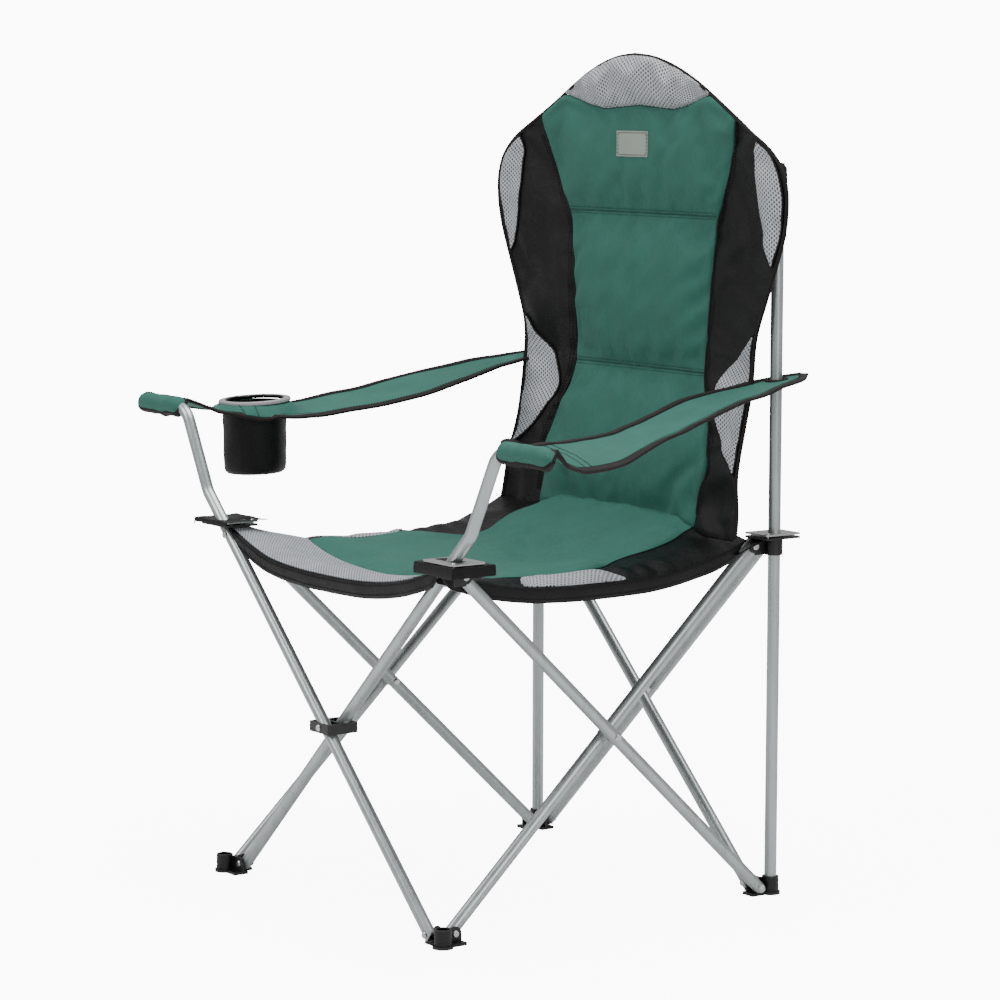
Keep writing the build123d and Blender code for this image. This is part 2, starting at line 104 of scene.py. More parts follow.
def curve(t, xs, ys):
    """A smooth value between table entries, without overshoot at the ends."""
    xs, ys, t = np.array(xs, float), np.array(ys, float), np.asarray(t, float)
    step = np.diff(xs)
    slope = np.diff(ys) / step
    tangent = np.zeros(len(xs))
    tangent[1:-1] = (slope[:-1] * step[1:] + slope[1:] * step[:-1]) / (step[:-1] + step[1:])
    tangent[0], tangent[-1] = slope[0], slope[-1]
    k = np.clip(np.searchsorted(xs, t) - 1, 0, len(xs) - 2)
    u = np.clip((t - xs[k]) / step[k], 0, 1)
    h = step[k]
    return (
        (1 + 2 * u) * (1 - u) ** 2 * ys[k]
        + u * (1 - u) ** 2 * h * tangent[k]
        + u * u * (3 - 2 * u) * ys[k + 1]
        - u * u * (1 - u) * h * tangent[k + 1]
    )


def run_of(path):
    """Distance along a line of points, from its start."""
    return np.concatenate([[0], np.cumsum(np.linalg.norm(np.diff(path, axis=0), axis=1))])


def walk(path, run, at):
    """The values of path at these distances along it."""
    return np.stack([np.interp(at, run, axis) for axis in np.transpose(path)], -1)


def along(points, count):
    """A smooth line through points, cut in count equal steps."""
    points = np.array(points, float)
    n = len(points)
    fine = np.linspace(0, n - 1, 40 * n)
    line = np.stack([curve(fine, range(n), axis) for axis in points.T], 1)
    run = run_of(line)
    return walk(line, run, np.linspace(0, run[-1], count))


def ripple(a, b, scale, seed):
    """Soft irregular waves over (a, b), between about -1 and 1."""
    rng = np.random.default_rng(seed)
    out = np.zeros(np.broadcast(a, b).shape)
    for _ in range(9):
        turn, phase = rng.uniform(0, math.pi), rng.uniform(0, 2 * math.pi)
        k = 2 * math.pi / (scale * rng.uniform(0.7, 1.5))
        out = out + np.sin(k * (a * math.cos(turn) + b * math.sin(turn)) + phase)
    return out / 4.5


# ---------------------------------------------------------------- meshes
FRONT, BACK, RIM = 0, 1, 2


def link(name, data):
    """A new object in the scene."""
    obj = bpy.data.objects.new(name, data)
    bpy.context.scene.collection.objects.link(obj)
    return obj


class Piece:
    """A mesh being made: points in metres, faces with a layer and a material each, flat cloth coordinates."""

    def __init__(self, verts, faces, layer, weave, paint=None):
        self.verts = np.array(verts, float)
        self.faces = [tuple(int(i) for i in f) for f in faces]
        self.layer = np.array(layer, int)
        self.weave = np.array(weave, float)
        self.paint = np.zeros(len(self.faces), int) if paint is None else np.array(paint, int)

    def mesh(self, name):
        me = bpy.data.meshes.new(name)
        me.from_pydata(self.verts.tolist(), [], self.faces)
        me.polygons.foreach_set("use_smooth", [True] * len(self.faces))
        me.polygons.foreach_set("material_index", self.paint)
        flat = me.attributes.new("weave", "FLOAT_VECTOR", "POINT")
        flat.data.foreach_set("vector", np.pad(self.weave, ((0, 0), (0, 1))).ravel())
        kind = me.attributes.new("layer", "INT", "FACE")
        kind.data.foreach_set("value", self.layer)
        me.update()
        return me

    def read(self, me):
        self.verts = np.array([v.co for v in me.vertices], float)
        self.faces = [tuple(p.vertices) for p in me.polygons]
        self.paint = np.array([p.material_index for p in me.polygons], int)
        flat = np.zeros(len(me.vertices) * 3, np.float32)
        me.attributes["weave"].data.foreach_get("vector", flat)
        self.weave = flat.reshape(-1, 3)[:, :2].astype(float)
        kind = np.zeros(len(me.polygons), np.int32)
        me.attributes["layer"].data.foreach_get("value", kind)
        self.layer = kind.astype(int)

    def refine(self, levels=1):
        """Catmull-Clark subdivision, which also rounds the rim."""
        obj = link("refine", self.mesh("refine"))
        smooth = obj.modifiers.new("smooth", "SUBSURF")
        smooth.levels = smooth.render_levels = levels
        made = obj.evaluated_get(bpy.context.evaluated_depsgraph_get()).to_mesh()
        self.read(made)
        bpy.data.objects.remove(obj)
        return self

    def corner_normals(self):
        """One normal for each corner, smoothed inside its own layer only."""
        sums = {k: np.zeros_like(self.verts) for k in set(self.layer.tolist())}
        by_size = {}
        for i, f in enumerate(self.faces):
            by_size.setdefault(len(f), []).append(i)
        whole = np.zeros((len(self.faces), 3))
        for size, ids in by_size.items():
            ids = np.array(ids)
            loops = np.array([self.faces[i] for i in ids])
            p = self.verts[loops]
            n = sum(np.cross(p[:, k] - p[:, 0], p[:, k + 1] - p[:, 0]) for k in range(1, size - 1))
            whole[ids] = n
            for k in sums:
                pick = self.layer[ids] == k
                for c in range(size):
                    np.add.at(sums[k], loops[pick, c], n[pick])
        out = np.array([sums[k][v] for f, k in zip(self.faces, self.layer) for v in f])
        size = np.linalg.norm(out, axis=1, keepdims=True)
        return np.where(size > 1e-12, out / np.maximum(size, 1e-12), (0, 0, 1))

    def tree(self):
        return BVHTree.FromPolygons([tuple(v) for v in self.verts], self.faces)


def grid_faces(rows, cols, start=0, flip=False, wrap=False):
    """The quads of a grid of points, which wrap joins round into a tube."""
    out = []
    for r in range(rows - 1):
        for c in range(cols if wrap else cols - 1):
            d = (c + 1) % cols
            f = (r * cols + c, r * cols + d, (r + 1) * cols + d, (r + 1) * cols + c)
            out.append(tuple(start + i for i in (f[::-1] if flip else f)))
    return out


def flat_coordinates(points):
    """Cloth coordinates in metres, measured along the middle row and column of a grid."""
    rows, cols = points.shape[:2]
    across = np.linalg.norm(np.diff(points, axis=1), axis=2)
    across = np.concatenate([np.zeros((rows, 1)), np.cumsum(across, 1)], 1)
    across -= across[:, cols // 2][:, None]
    up = run_of(points[:, cols // 2])
    return np.stack([across, np.broadcast_to(up[:, None], (rows, cols))], 2)


def shell(front, back, skip=None, back_paint=0):
    """A closed two-layer piece from two grids; front's faces look along its row-by-column normal."""
    rows, cols = front.shape[:2]
    n = rows * cols
    weave = flat_coordinates(front).reshape(-1, 2)
    fore, aft = grid_faces(rows, cols), grid_faces(rows, cols, n, True)
    if skip is not None:
        keep = [not skip(np.mean([front.reshape(-1, 3)[i] for i in f], 0)) for f in fore]
        fore = [f for f, k in zip(fore, keep) if k]
        aft = [f for f, k in zip(aft, keep) if k]
    edges = dict.fromkeys(e for f in fore for e in zip(f, f[1:] + f[:1]))
    rim = [(b, a, a + n, b + n) for a, b in edges if (b, a) not in edges]
    faces = fore + aft + rim
    layer = [FRONT] * len(fore) + [BACK] * len(aft) + [RIM] * len(rim)
    paint = [0] * len(fore) + [back_paint] * len(aft) + [0] * len(rim)
    verts = np.concatenate([front.reshape(-1, 3), back.reshape(-1, 3)])
    return Piece(verts, faces, layer, np.concatenate([weave, weave]), paint)


def sweep(path, side, up, profile, closed=False):
    """profile, a ring of (side, up) offsets in metres, carried along path."""
    path, profile = np.array(path, float), np.array(profile, float)
    rows, cols = len(path), len(profile)
    verts = (
        path[:, None]
        + profile[None, :, 0, None] * np.array(side)[:, None]
        + profile[None, :, 1, None] * np.array(up)[:, None]
    )
    weave = np.stack([np.tile(run_of(profile), rows), np.repeat(run_of(path), cols)], 1)
    faces = grid_faces(rows, cols, wrap=True)
    if closed:
        last = (rows - 1) * cols
        faces += [(last + c, last + (c + 1) % cols, (c + 1) % cols, c) for c in range(cols)]
    else:
        faces += [tuple(range(cols))[::-1], tuple(range((rows - 1) * cols, rows * cols))]
    layer = [FRONT] * len(faces)
    if not closed:
        layer[-2:] = [BACK, RIM]
    return Piece(verts.reshape(-1, 3), faces, layer, weave)


def unit(v):
    v = np.array(v, float)
    return v / np.maximum(np.linalg.norm(v, axis=-1, keepdims=True), 1e-12)


def tangents(path, closed=False):
    path = np.array(path, float)
    if closed:
        return unit(np.roll(path, -1, 0) - np.roll(path, 1, 0))
    return unit(np.gradient(path, axis=0))


def oval(a, b, count=12, power=2.0):
    """A ring of points: an ellipse, or with a higher power a rounded bar."""
    t = full_turn(count)
    c, s = np.cos(t), np.sin(t)
    return np.stack([a * np.sign(c) * abs(c) ** (2 / power), b * np.sign(s) * abs(s) ** (2 / power)], 1)


def cord_along(path, up, radius, flat=1.0, closed=False, count=10):
    """A round or flattened trim along path, standing on the surface whose outward direction is up."""
    path = np.array(path, float)
    t = tangents(path, closed)
    up = unit(np.broadcast_to(up, path.shape) - t * (np.broadcast_to(up, path.shape) * t).sum(1)[:, None])
    return sweep(path, np.cross(t, up), up, oval(radius * flat, radius, count), closed)


def join(pieces):
    """Several pieces as one mesh."""
    faces, start = [], 0
    for p in pieces:
        faces += [tuple(i + start for i in f) for f in p.faces]
        start += len(p.verts)
    verts, layer, weave, paint = (
        np.concatenate([getattr(p, key) for p in pieces]) for key in ("verts", "layer", "weave", "paint")
    )
    return Piece(verts, faces, layer, weave, paint)


def stitches(path, up, pitch=0.0042, length=0.0029, radius=0.00042):
    """Sewing thread: short raised stitches in a row along path."""
    path = np.array(path, float)
    up = np.broadcast_to(up, path.shape)
    run = run_of(path)
    count = max(int(run[-1] / pitch), 1)
    ring = oval(1, 1, 6)
    size = np.array([0.35, 1, 1, 0.35])[:, None, None] * radius
    lift = np.array([-0.6, 0.5, 0.5, -0.6])[:, None, None] * radius
    faces = grid_faces(4, 6, wrap=True) + [tuple(range(6))[::-1], tuple(range(18, 24))]
    made = []
    for k in range(count):
        mid = (k + 0.5) * run[-1] / count
        p = walk(path, run, mid + np.array([-0.5, -0.32, 0.32, 0.5]) * length)
        n = unit(walk(up, run, mid))
        side = unit(np.cross(unit(p[-1] - p[0]), n))
        verts = p[:, None] + n * lift + size * (ring[None, :, 0, None] * side + ring[None, :, 1, None] * n)
        weave = np.zeros((24, 2))
        weave[:, 1] = mid
        made.append(Piece(verts.reshape(-1, 3), faces, [FRONT] * len(faces), weave))
    return join(made)


def inflate(piece, pinned, pressure, growth, cap, frames=20, bending=0.6):
    """Cloth simulation of a closed pad or a panel: pinned points stay on their seams and the rest swells."""
    rest = piece.verts.copy()
    obj = link("cloth", piece.mesh("cloth"))
    group = obj.vertex_groups.new(name="seam")
    group.add([int(i) for i in np.flatnonzero(pinned)], 1.0, "REPLACE")
    cloth = obj.modifiers.new("cloth", "CLOTH")
    s = cloth.settings
    s.quality = 5
    s.mass = 0.25
    s.tension_stiffness = s.compression_stiffness = 30
    s.shear_stiffness = 12
    s.bending_stiffness = bending
    s.use_pressure = True
    s.uniform_pressure_force = pressure
    s.vertex_group_mass = "seam"
    s.shrink_min = -growth
    s.effector_weights.gravity = 0
    cloth.collision_settings.use_collision = False
    cloth.point_cache.frame_start, cloth.point_cache.frame_end = 1, frames
    for f in range(1, frames + 1):
        bpy.context.scene.frame_set(f)
    made = obj.evaluated_get(bpy.context.evaluated_depsgraph_get()).to_mesh()
    moved = np.array([v.co for v in made.vertices], float) - rest
    bpy.data.objects.remove(obj)
    bpy.context.scene.frame_set(1)
    far = np.linalg.norm(moved, axis=1)
    soft = cap * np.tanh(far / cap)
    piece.verts = rest + moved * (soft / np.maximum(far, 1e-9))[:, None]


# ---------------------------------------------------------------- which body carries what
# The height in metres where the back's upper and lower parts meet, at its lower seam, and the body that
# carries each part.
SPLIT_Z = 0.672
BACK_BODY = {
    "upper_right": "rear_right_frame",
    "upper_left": "rear_left_frame",
    "lower_right": "slider_right",
    "lower_left": "slider_left",
}


def back_zone(p):
    side = "right" if p[0] > 0 else "left"
    return ("upper_" if p[2] > SPLIT_Z else "lower_") + side


def seat_zone(p):
    x, y = p[0], p[1] - CENTRE_Y
    if abs(y) >= abs(x):
        return "front" if y < 0 else "rear"
    return "right" if x > 0 else "left"


def whole(zone):
    """A zone function for a piece that one body carries."""
    return lambda p: zone


def fold_back(obj, zone):
    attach(obj, BACK_BODY[zone])
    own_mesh(obj)


def fold_seat(obj, zone):
    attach(obj, "seat_" + zone)
    if zone in ("front", "rear"):
        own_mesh(obj)
    else:
        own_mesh(obj)


def show(name, piece, materials, normals=None):
    """The finished mesh as an object, with each layer's own normals."""
    me = piece.mesh(name)
    for material in materials:
        me.materials.append(material)
    me.normals_split_custom_set((piece.corner_normals() if normals is None else normals).tolist())
    me.attributes.remove(me.attributes["layer"])
    obj = link(name, me)
    return obj


def open_loops(faces):
    """The closed rings of edges that only one face uses, each turned to face the other way."""
    used = {(a, b) for f in faces for a, b in zip(f, f[1:] + f[:1])}
    after = {}
    for a, b in sorted(used):
        if (b, a) not in used:
            after.setdefault(b, []).append(a)
    loops = []
    while after:
        start = min(after)
        ring, at = [], start
        while at in after:
            ring.append(at)
            step = after[at].pop()
            if not after[at]:
                del after[at]
            at = step
            if at == start:
                break
        if len(ring) > 2:
            loops.append(tuple(ring))
    return loops


def lace(ring, verts, turning):
    """Triangles between the two layers' cut lines, laced from one rim to the other."""
    ends = [k for k, v in enumerate(ring) if v in turning]
    if len(ends) != 2:
        return [ring]
    ring = ring[ends[0] :] + ring[: ends[0]]
    far = ends[1] - ends[0]
    one, two = ring[: far + 1], (ring[0],) + ring[:far - 1 : -1]
    i = j = 0
    made = []
    while i < len(one) - 1 or j < len(two) - 1:
        step_one = step_two = np.inf
        if i < len(one) - 1:
            step_one = np.linalg.norm(verts[one[i + 1]] - verts[two[j]])
        if j < len(two) - 1:
            step_two = np.linalg.norm(verts[two[j + 1]] - verts[one[i]])
        if step_one <= step_two:
            face = (one[i], one[i + 1], two[j])
            i += 1
        else:
            face = (one[i], two[j + 1], two[j])
            j += 1
        if len(set(face)) == 3:
            made.append(face)
    return made


def deal(name, piece, materials, zone, fold):
    """Cuts a piece where the bodies that carry it part, closes the cuts, and keeps its shading whole."""
    normals = piece.corner_normals()
    ends = np.cumsum([0] + [len(f) for f in piece.faces])
    where = [zone(np.mean(piece.verts[list(f)], 0)) for f in piece.faces]
    outer = {v for f, k in zip(piece.faces, piece.layer) if k != RIM for v in f}
    turning = {v for f in piece.faces for v in f} - outer
    made = {}
    for z in sorted(set(where)):
        ids = [i for i, w in enumerate(where) if w == z]
        faces = [piece.faces[i] for i in ids]
        caps = [f for ring in open_loops(faces) for f in lace(ring, piece.verts, turning)]
        loops = [normals[ends[i] : ends[i + 1]] for i in ids]
        for ring in caps:
            p = piece.verts[list(ring)]
            n = unit(np.cross(p - p.mean(0), np.roll(p, -1, 0) - p.mean(0)).sum(0))
            loops.append(np.repeat(n[None], len(ring), 0))
        used = sorted({v for f in faces for v in f})
        renumber = {v: k for k, v in enumerate(used)}
        part = Piece(
            piece.verts[used],
            [[renumber[v] for v in f] for f in faces + caps],
            np.concatenate([piece.layer[ids], np.full(len(caps), RIM)]),
            piece.weave[used],
            np.concatenate([piece.paint[ids], np.zeros(len(caps), int)]),
        )
        obj = show(f"{name}_{z}", part, materials, np.concatenate(loops))
        fold(obj, z)
        made[z] = (obj, part)
    return made


def cut_size(part):
    """Flat width, length and area of a part's outer layer, from its cloth coordinates."""
    top = [f for f, k in zip(part.faces, part.layer) if k == FRONT]
    area = 0.0
    for f in top:
        x, y = part.weave[list(f)].T
        area += 0.5 * abs(np.dot(x, np.roll(y, -1)) - np.dot(y, np.roll(x, -1)))
    used = part.weave[sorted({v for f in top for v in f})]
    wide, long = np.ptp(used, axis=0)
    return float(wide), float(long), float(area)


def declare_sheet(part):
    wide, long, area = cut_size(part)
    area = min(max(area, 0.31 * wide * long), wide * long)


# ---------------------------------------------------------------- materials
# Nearly all of a noise texture's values lie between these two.
MOST_NOISE = (0.3, 0.7)


class Look:
    """A node material on one Principled shader."""

    def __init__(self, name, **values):
        self.mat = bpy.data.materials.new(name)
        self.mat.use_nodes = True
        self.nodes, self.links = self.mat.node_tree.nodes, self.mat.node_tree.links
        self.shader = self.nodes["Principled BSDF"]
        for key, value in values.items():
            self.shader.inputs[key.replace("_", " ")].default_value = value

    def add(self, kind, inputs=(), **settings):
        node = self.nodes.new(kind)
        for key, value in settings.items():
            setattr(node, key, value)
        for i, value in enumerate(inputs):
            if isinstance(value, bpy.types.NodeSocket):
                self.links.new(value, node.inputs[i])
            elif value is not None:
                node.inputs[i].default_value = value
        return node

    def math(self, operation, a, b=None, c=None):
        return self.add("ShaderNodeMath", (a, b, c), operation=operation).outputs[0]

    def vector(self, name=None):
        if name is None:
            return self.add("ShaderNodeTexCoord").outputs["Object"]
        return self.add("ShaderNodeAttribute", attribute_name=name).outputs["Vector"]

    def axes(self, vector):
        split = self.add("ShaderNodeSeparateXYZ", (vector,))
        return split.outputs[0], split.outputs[1], split.outputs[2]

    def noise(self, vector, scale, detail=3.0, rough=0.5):
        node = self.add("ShaderNodeTexNoise")
        self.links.new(vector, node.inputs["Vector"])
        node.inputs["Scale"].default_value = scale
        node.inputs["Detail"].default_value = detail
        node.inputs["Roughness"].default_value = rough
        return node.outputs["Fac"]

    def streaks(self, vector, scale, detail, rough=0.5):
        """Noise drawn out along one axis."""
        drawn = self.add("ShaderNodeMapping", (vector,))
        drawn.inputs["Scale"].default_value = scale
        return self.noise(drawn.outputs[0], 1.0, detail, rough)

    def range(self, value, low, high, to_low=0.0, to_high=1.0):
        return self.add("ShaderNodeMapRange", (value, low, high, to_low, to_high)).outputs[0]

    def mix(self, amount, a, b):
        node = self.add("ShaderNodeMix", data_type="RGBA")
        for socket, value in ((0, amount), (6, a), (7, b)):
            if isinstance(value, bpy.types.NodeSocket):
                self.links.new(value, node.inputs[socket])
            else:
                node.inputs[socket].default_value = value
        return node.outputs[2]

    def colour(self, socket):
        self.links.new(socket, self.shader.inputs["Base Color"])

    def rough(self, socket):
        self.links.new(socket, self.shader.inputs["Roughness"])

    def bump(self, height, distance, strength=1.0):
        node = self.add("ShaderNodeBump")
        node.inputs["Strength"].default_value = strength
        node.inputs["Distance"].default_value = distance
        self.links.new(height, node.inputs["Height"])
        if self.shader.inputs["Normal"].links:
            self.links.new(self.shader.inputs["Normal"].links[0].from_socket, node.inputs["Normal"])
        self.links.new(node.outputs["Normal"], self.shader.inputs["Normal"])


def tone(rgb, factor):
    return tuple(min(c * factor, 1.0) for c in rgb) + (1.0,)


def woven(name, rgb, pitch, roughness, sheen, depth=0.00012, spread=0.12, sheen_rgb=(1, 1, 1), gloss=0.2):
    """Plain-woven polyester: crossing threads, slubs and slow colour drift."""
    look = Look(name, Roughness=roughness, Sheen_Weight=sheen, Sheen_Roughness=0.5, Specular_IOR_Level=gloss)
    look.shader.inputs["Sheen Tint"].default_value = tone(sheen_rgb, 1)
    flat = look.vector("weave")
    x, y, _ = look.axes(flat)
    k = 2 * math.pi / pitch
    warp = look.math("SINE", look.math("MULTIPLY", x, k))
    weft = look.math("SINE", look.math("MULTIPLY", y, k))
    cross = look.math("MULTIPLY", warp, weft)
    streak = look.streaks(flat, (900, 90, 1), 2.0)
    drift = look.noise(flat, 22.0, 4.0, 0.6)
    shade = look.math("MULTIPLY_ADD", streak, 0.35, look.math("MULTIPLY", drift, 0.65))
    shade = look.math("MULTIPLY_ADD", cross, 0.05, shade)
    base = look.mix(look.range(shade, *MOST_NOISE), tone(rgb, 1 - spread), tone(rgb, 1 + spread))
    look.colour(base)
    look.rough(look.range(drift, *MOST_NOISE, roughness - 0.06, roughness + 0.06))
    look.bump(cross, depth, 0.55)
    look.bump(look.noise(flat, 160.0, 3.0), 0.0006, 0.22)
    return look.mat


def netting(name, rgb, pitch):
    """Spacer mesh: a lattice of round-cornered holes over a dark ground."""
    look = Look(name, Roughness=0.5, Sheen_Weight=0.04, Specular_IOR_Level=0.4)
    flat = look.vector("weave")
    x, y, _ = look.axes(flat)
    k = 4 * math.pi / (math.sqrt(3) * pitch)
    waves = []
    for turn in (0, 60, 120):
        c, s = math.cos(math.radians(turn)) * k, math.sin(math.radians(turn)) * k
        mixed = look.math("MULTIPLY_ADD", x, c, look.math("MULTIPLY", y, s * 0.8))
        waves.append(look.math("COSINE", mixed))
    field = look.math("ADD", look.math("ADD", waves[0], waves[1]), waves[2])
    hole = look.range(field, 0.35, 1.25)
    drift = look.noise(flat, 30.0, 3.0)
    yarn = look.mix(look.range(drift, *MOST_NOISE), tone(rgb, 0.86), tone(rgb, 1.12))
    look.colour(look.mix(hole, yarn, tone(rgb, 0.16)))
    look.rough(look.range(hole, 0.0, 1.0, 0.42, 0.8))
    look.bump(look.range(field, 1.3, -0.6), 0.0009, 0.8)
    look.bump(look.noise(flat, 1400.0, 2.0), 0.0002, 0.3)
    return look.mat


def ribbed(name, rgb, pitch=0.0011, roughness=0.62):
    """Folded tape and webbing: fine ribs across its length."""
    look = Look(name, Roughness=roughness, Sheen_Weight=0.02, Specular_IOR_Level=0.2)
    flat = look.vector("weave")
    x, y, _ = look.axes(flat)
    rib = look.math("SINE", look.math("MULTIPLY", y, 2 * math.pi / pitch))
    edge = look.math("SINE", look.math("MULTIPLY", x, 2 * math.pi / (pitch * 1.7)))
    weave = look.math("MULTIPLY_ADD", edge, 0.4, rib)
    drift = look.noise(flat, 60.0, 3.0)
    look.colour(look.mix(look.range(drift, *MOST_NOISE), tone(rgb, 0.75), tone(rgb, 1.35)))
    look.bump(weave, 0.00016, 0.6)
    look.bump(look.noise(flat, 300.0, 2.0), 0.0004, 0.3)
    return look.mat


def coated_steel(name):
    """Silver powder coat on tube: fine orange peel, faint handling marks."""
    look = Look(name, Metallic=0.7, Roughness=0.3, Specular_IOR_Level=0.5)
    at = look.vector()
    peel = look.noise(at, 1500.0, 2.0)
    marks = look.streaks(at, (60, 60, 9), 5.0, 0.65)
    rgb = (0.43, 0.465, 0.465)
    look.colour(look.mix(look.range(marks, 0.35, 0.7), tone(rgb, 0.92), tone(rgb, 1.1)))
    look.rough(look.range(marks, *MOST_NOISE, 0.25, 0.36))
    look.bump(peel, 0.00006, 0.5)
    return look.mat


def bright_steel(name, rgb=(0.62, 0.62, 0.61), rough=0.24):
    """Plated steel, lightly brushed."""
    look = Look(name, Metallic=1.0, Roughness=rough)
    lines = look.streaks(look.vector(), (900, 120, 900), 3.0)
    look.colour(look.mix(lines, tone(rgb, 0.82), tone(rgb, 1.08)))
    look.rough(look.range(lines, *MOST_NOISE, rough - 0.07, rough + 0.1))
    look.bump(lines, 0.00003, 0.4)
    return look.mat


def moulded(name, rgb=(0.003, 0.003, 0.0033), rough=0.34):
    """Injection-moulded nylon: spark texture, and a painted highlight that makes its sharp edges paler."""
    look = Look(name, Roughness=rough, Specular_IOR_Level=0.42)
    at = look.vector()
    spark = look.noise(at, 2200.0, 2.0)
    worn = look.noise(at, 70.0, 5.0, 0.7)
    # Painted highlight: sharp convex edges, picked out by pointiness, are mixed towards a paler grey.
    bevel = look.add("ShaderNodeNewGeometry").outputs["Pointiness"]
    edge = look.range(bevel, 0.52, 0.6)
    body = look.mix(look.range(worn, 0.35, 0.7), tone(rgb, 0.8), tone(rgb, 1.7))
    look.colour(look.mix(look.math("MULTIPLY", edge, 0.5), body, tone((0.03, 0.03, 0.03), 1)))
    look.rough(look.range(worn, *MOST_NOISE, rough - 0.06, rough + 0.12))
    look.bump(spark, 0.00005, 0.5)
    return look.mat


def flanged(name):
    """The cup ring: glossy black inside, with a painted reflection on the flange on top: a pale silver band
    that a thin dark line rings.
    """
    look = Look(name, Roughness=0.2, Specular_IOR_Level=0.5)
    low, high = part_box("cup_ring")
    centre, radius = (low + high) / 2, (high[0] - low[0]) / 2
    at = look.vector()
    x, y, _ = look.axes(at)
    far_x = look.math("SUBTRACT", x, float(centre[0]))
    far_y = look.math("SUBTRACT", y, float(centre[1]))
    far = look.math("SQRT", look.math("MULTIPLY_ADD", far_x, far_x, look.math("MULTIPLY", far_y, far_y)))
    # The flange's pale band is a painted reflection of the white room in the glossy black plastic; the thin
    # dark line splits it.
    flange = look.range(far, radius - 0.0088, radius - 0.0080)
    line_in = look.range(far, radius - 0.0040, radius - 0.0036)
    line_out = look.range(far, radius - 0.0026, radius - 0.0022)
    line = look.math("SUBTRACT", line_in, line_out)
    painted_reflection = look.math("MULTIPLY", flange, look.math("SUBTRACT", 1.0, line))
    marks = look.noise(at, 400.0, 4.0)
    # Tone of the painted reflection on the flange.
    reflection_rgb = (0.33, 0.33, 0.34)
    pale = look.mix(look.range(marks, *MOST_NOISE), tone(reflection_rgb, 0.9), tone(reflection_rgb, 1.1))
    look.colour(look.mix(painted_reflection, tone((0.006, 0.006, 0.0065), 1), pale))
    look.rough(look.range(painted_reflection, 0.0, 1.0, 0.14, 0.32))
    look.bump(look.noise(at, 1800.0, 2.0), 0.00003, 0.4)
    return look.mat


GREEN = woven("green_polyester", (0.031, 0.126, 0.098), 0.0011, 0.66, 0.05, sheen_rgb=(0.6, 1.0, 0.9))
BLACK = woven("black_polyester", (0.0022, 0.0017, 0.0023), 0.0009, 0.36, 0.0, spread=0.3, gloss=0.22)
LINING = woven("black_lining", (0.004, 0.0036, 0.004), 0.0012, 0.55, 0.01, spread=0.25)
NET = netting("silver_mesh", (0.47, 0.49, 0.52), 0.0046)
NET_FINE = netting("silver_mesh_fine", (0.42, 0.445, 0.49), 0.0034)
TAPE = ribbed("dark_binding", (0.0085, 0.0062, 0.006))
THREAD_BLACK = ribbed("black_thread", (0.010, 0.009, 0.0095), 0.0006, 0.7)
THREAD_GREEN = ribbed("green_thread", (0.016, 0.07, 0.054), 0.0006, 0.7)
LABEL = woven("pale_label", (0.30, 0.34, 0.30), 0.0011, 0.6, 0.03, spread=0.08)
STEEL = coated_steel("silver_powder_coat")
RIVET = bright_steel("plated_steel")
PLATE = bright_steel("plate_steel", (0.5, 0.51, 0.5), 0.34)
PLASTIC = moulded("black_nylon")
GLOSS = flanged("cup_ring_gloss")

# The finish of each carried-over CAD node, by the start of its name.
SLOT_LOOK = (
    (("rivets_", "fasteners_", "crossing_joint", "hub_rivet"), RIVET),
    (("seat_plate",), PLATE),
    (("foot_", "slider_", "corner_", "end_plugs", "post_plugs", "upright_cap", "hub"), PLASTIC),
    (("cup_ring",), GLOSS),
    (("pole_", "upright_", "front_post"), STEEL),
)
for node_name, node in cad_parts.items():
    for starts, look in SLOT_LOOK:
        if node_name.startswith(starts):
            node.data.materials.clear()
            node.data.materials.append(look)
            break


# ---------------------------------------------------------------- the back
# Half widths and heights of the cloth's outline and of the seams on it, in millimetres.
OUTLINE_Z = (467, 500, 540, 664, 720, 774, 817, 856, 888, 925, 949, 970, 986, 1003)
OUTLINE_X = (268, 262, 250, 248, 251, 272, 291, 306, 312, 309, 296, 271, 242, 211)
ARCH_X = (0, 40, 75, 115, 150, 180, 211)
ARCH_Z = (1084, 1080, 1071, 1055, 1037, 1020, 1003)
SIDE_SEAM_Z = (467, 486, 513, 555, 577, 602, 645, 667, 687, 716, 778, 842, 869, 891, 920, 951, 981, 1003)
SIDE_SEAM_X = (172, 172, 172, 178, 172, 164, 148, 142, 142, 144, 149, 155, 158, 169, 183, 196, 205, 211)
SHOULDER_Z, WAIST_X = 1003, 248
CREASE_Z, LOW_SEAM_Z, HIGH_SEAM_Z = 474, 672, 876
# The left edge is held in below the armrest.
LEFT_LOW_Z, LEFT_LOW_X = 560, 250
# How far back the middle line lies, and how far the sides come forward from it.
CENTRE_Z = (450, 467, 487, 540, 600, 672, 760, 876, 960, 1040, 1090)
CENTRE_DEPTH = (196, 199, 204, 215, 229, 241, 243, 242, 239, 231, 223)
BUCKET = 15
# The seam under the headrest, and each point's share of the way out to the pad's edge.
CAP_S = (0, 0.2, 0.35, 0.5, 0.62, 0.74, 0.87, 1)
CAP_X = (0, 45, 75, 103, 130, 157, 184, 211)
CAP_Z = (1018, 1015, 1013, 1018, 1026, 1033, 1018, 1003)
HEAD_X = 157
# Each stuffed channel: its lower and upper seam, rows of the grid, and swell.
CHANNELS = ((CREASE_Z, LOW_SEAM_Z, 24, 17), (LOW_SEAM_Z, HIGH_SEAM_Z, 26, 18), (HIGH_SEAM_Z, None, 20, 14))
S = np.linspace(-1, 1, 49)
TOWARD_SITTER = np.array([0.0, -1.0, 0.0])


def half_width(z):
    return curve(z, OUTLINE_Z, OUTLINE_X)


def side_seam(z):
    return curve(z, SIDE_SEAM_Z, SIDE_SEAM_X)


def arch_z(x):
    return curve(np.abs(x), ARCH_X, ARCH_Z)


def cap_z(x):
    return np.interp(np.abs(x), CAP_X, CAP_Z)


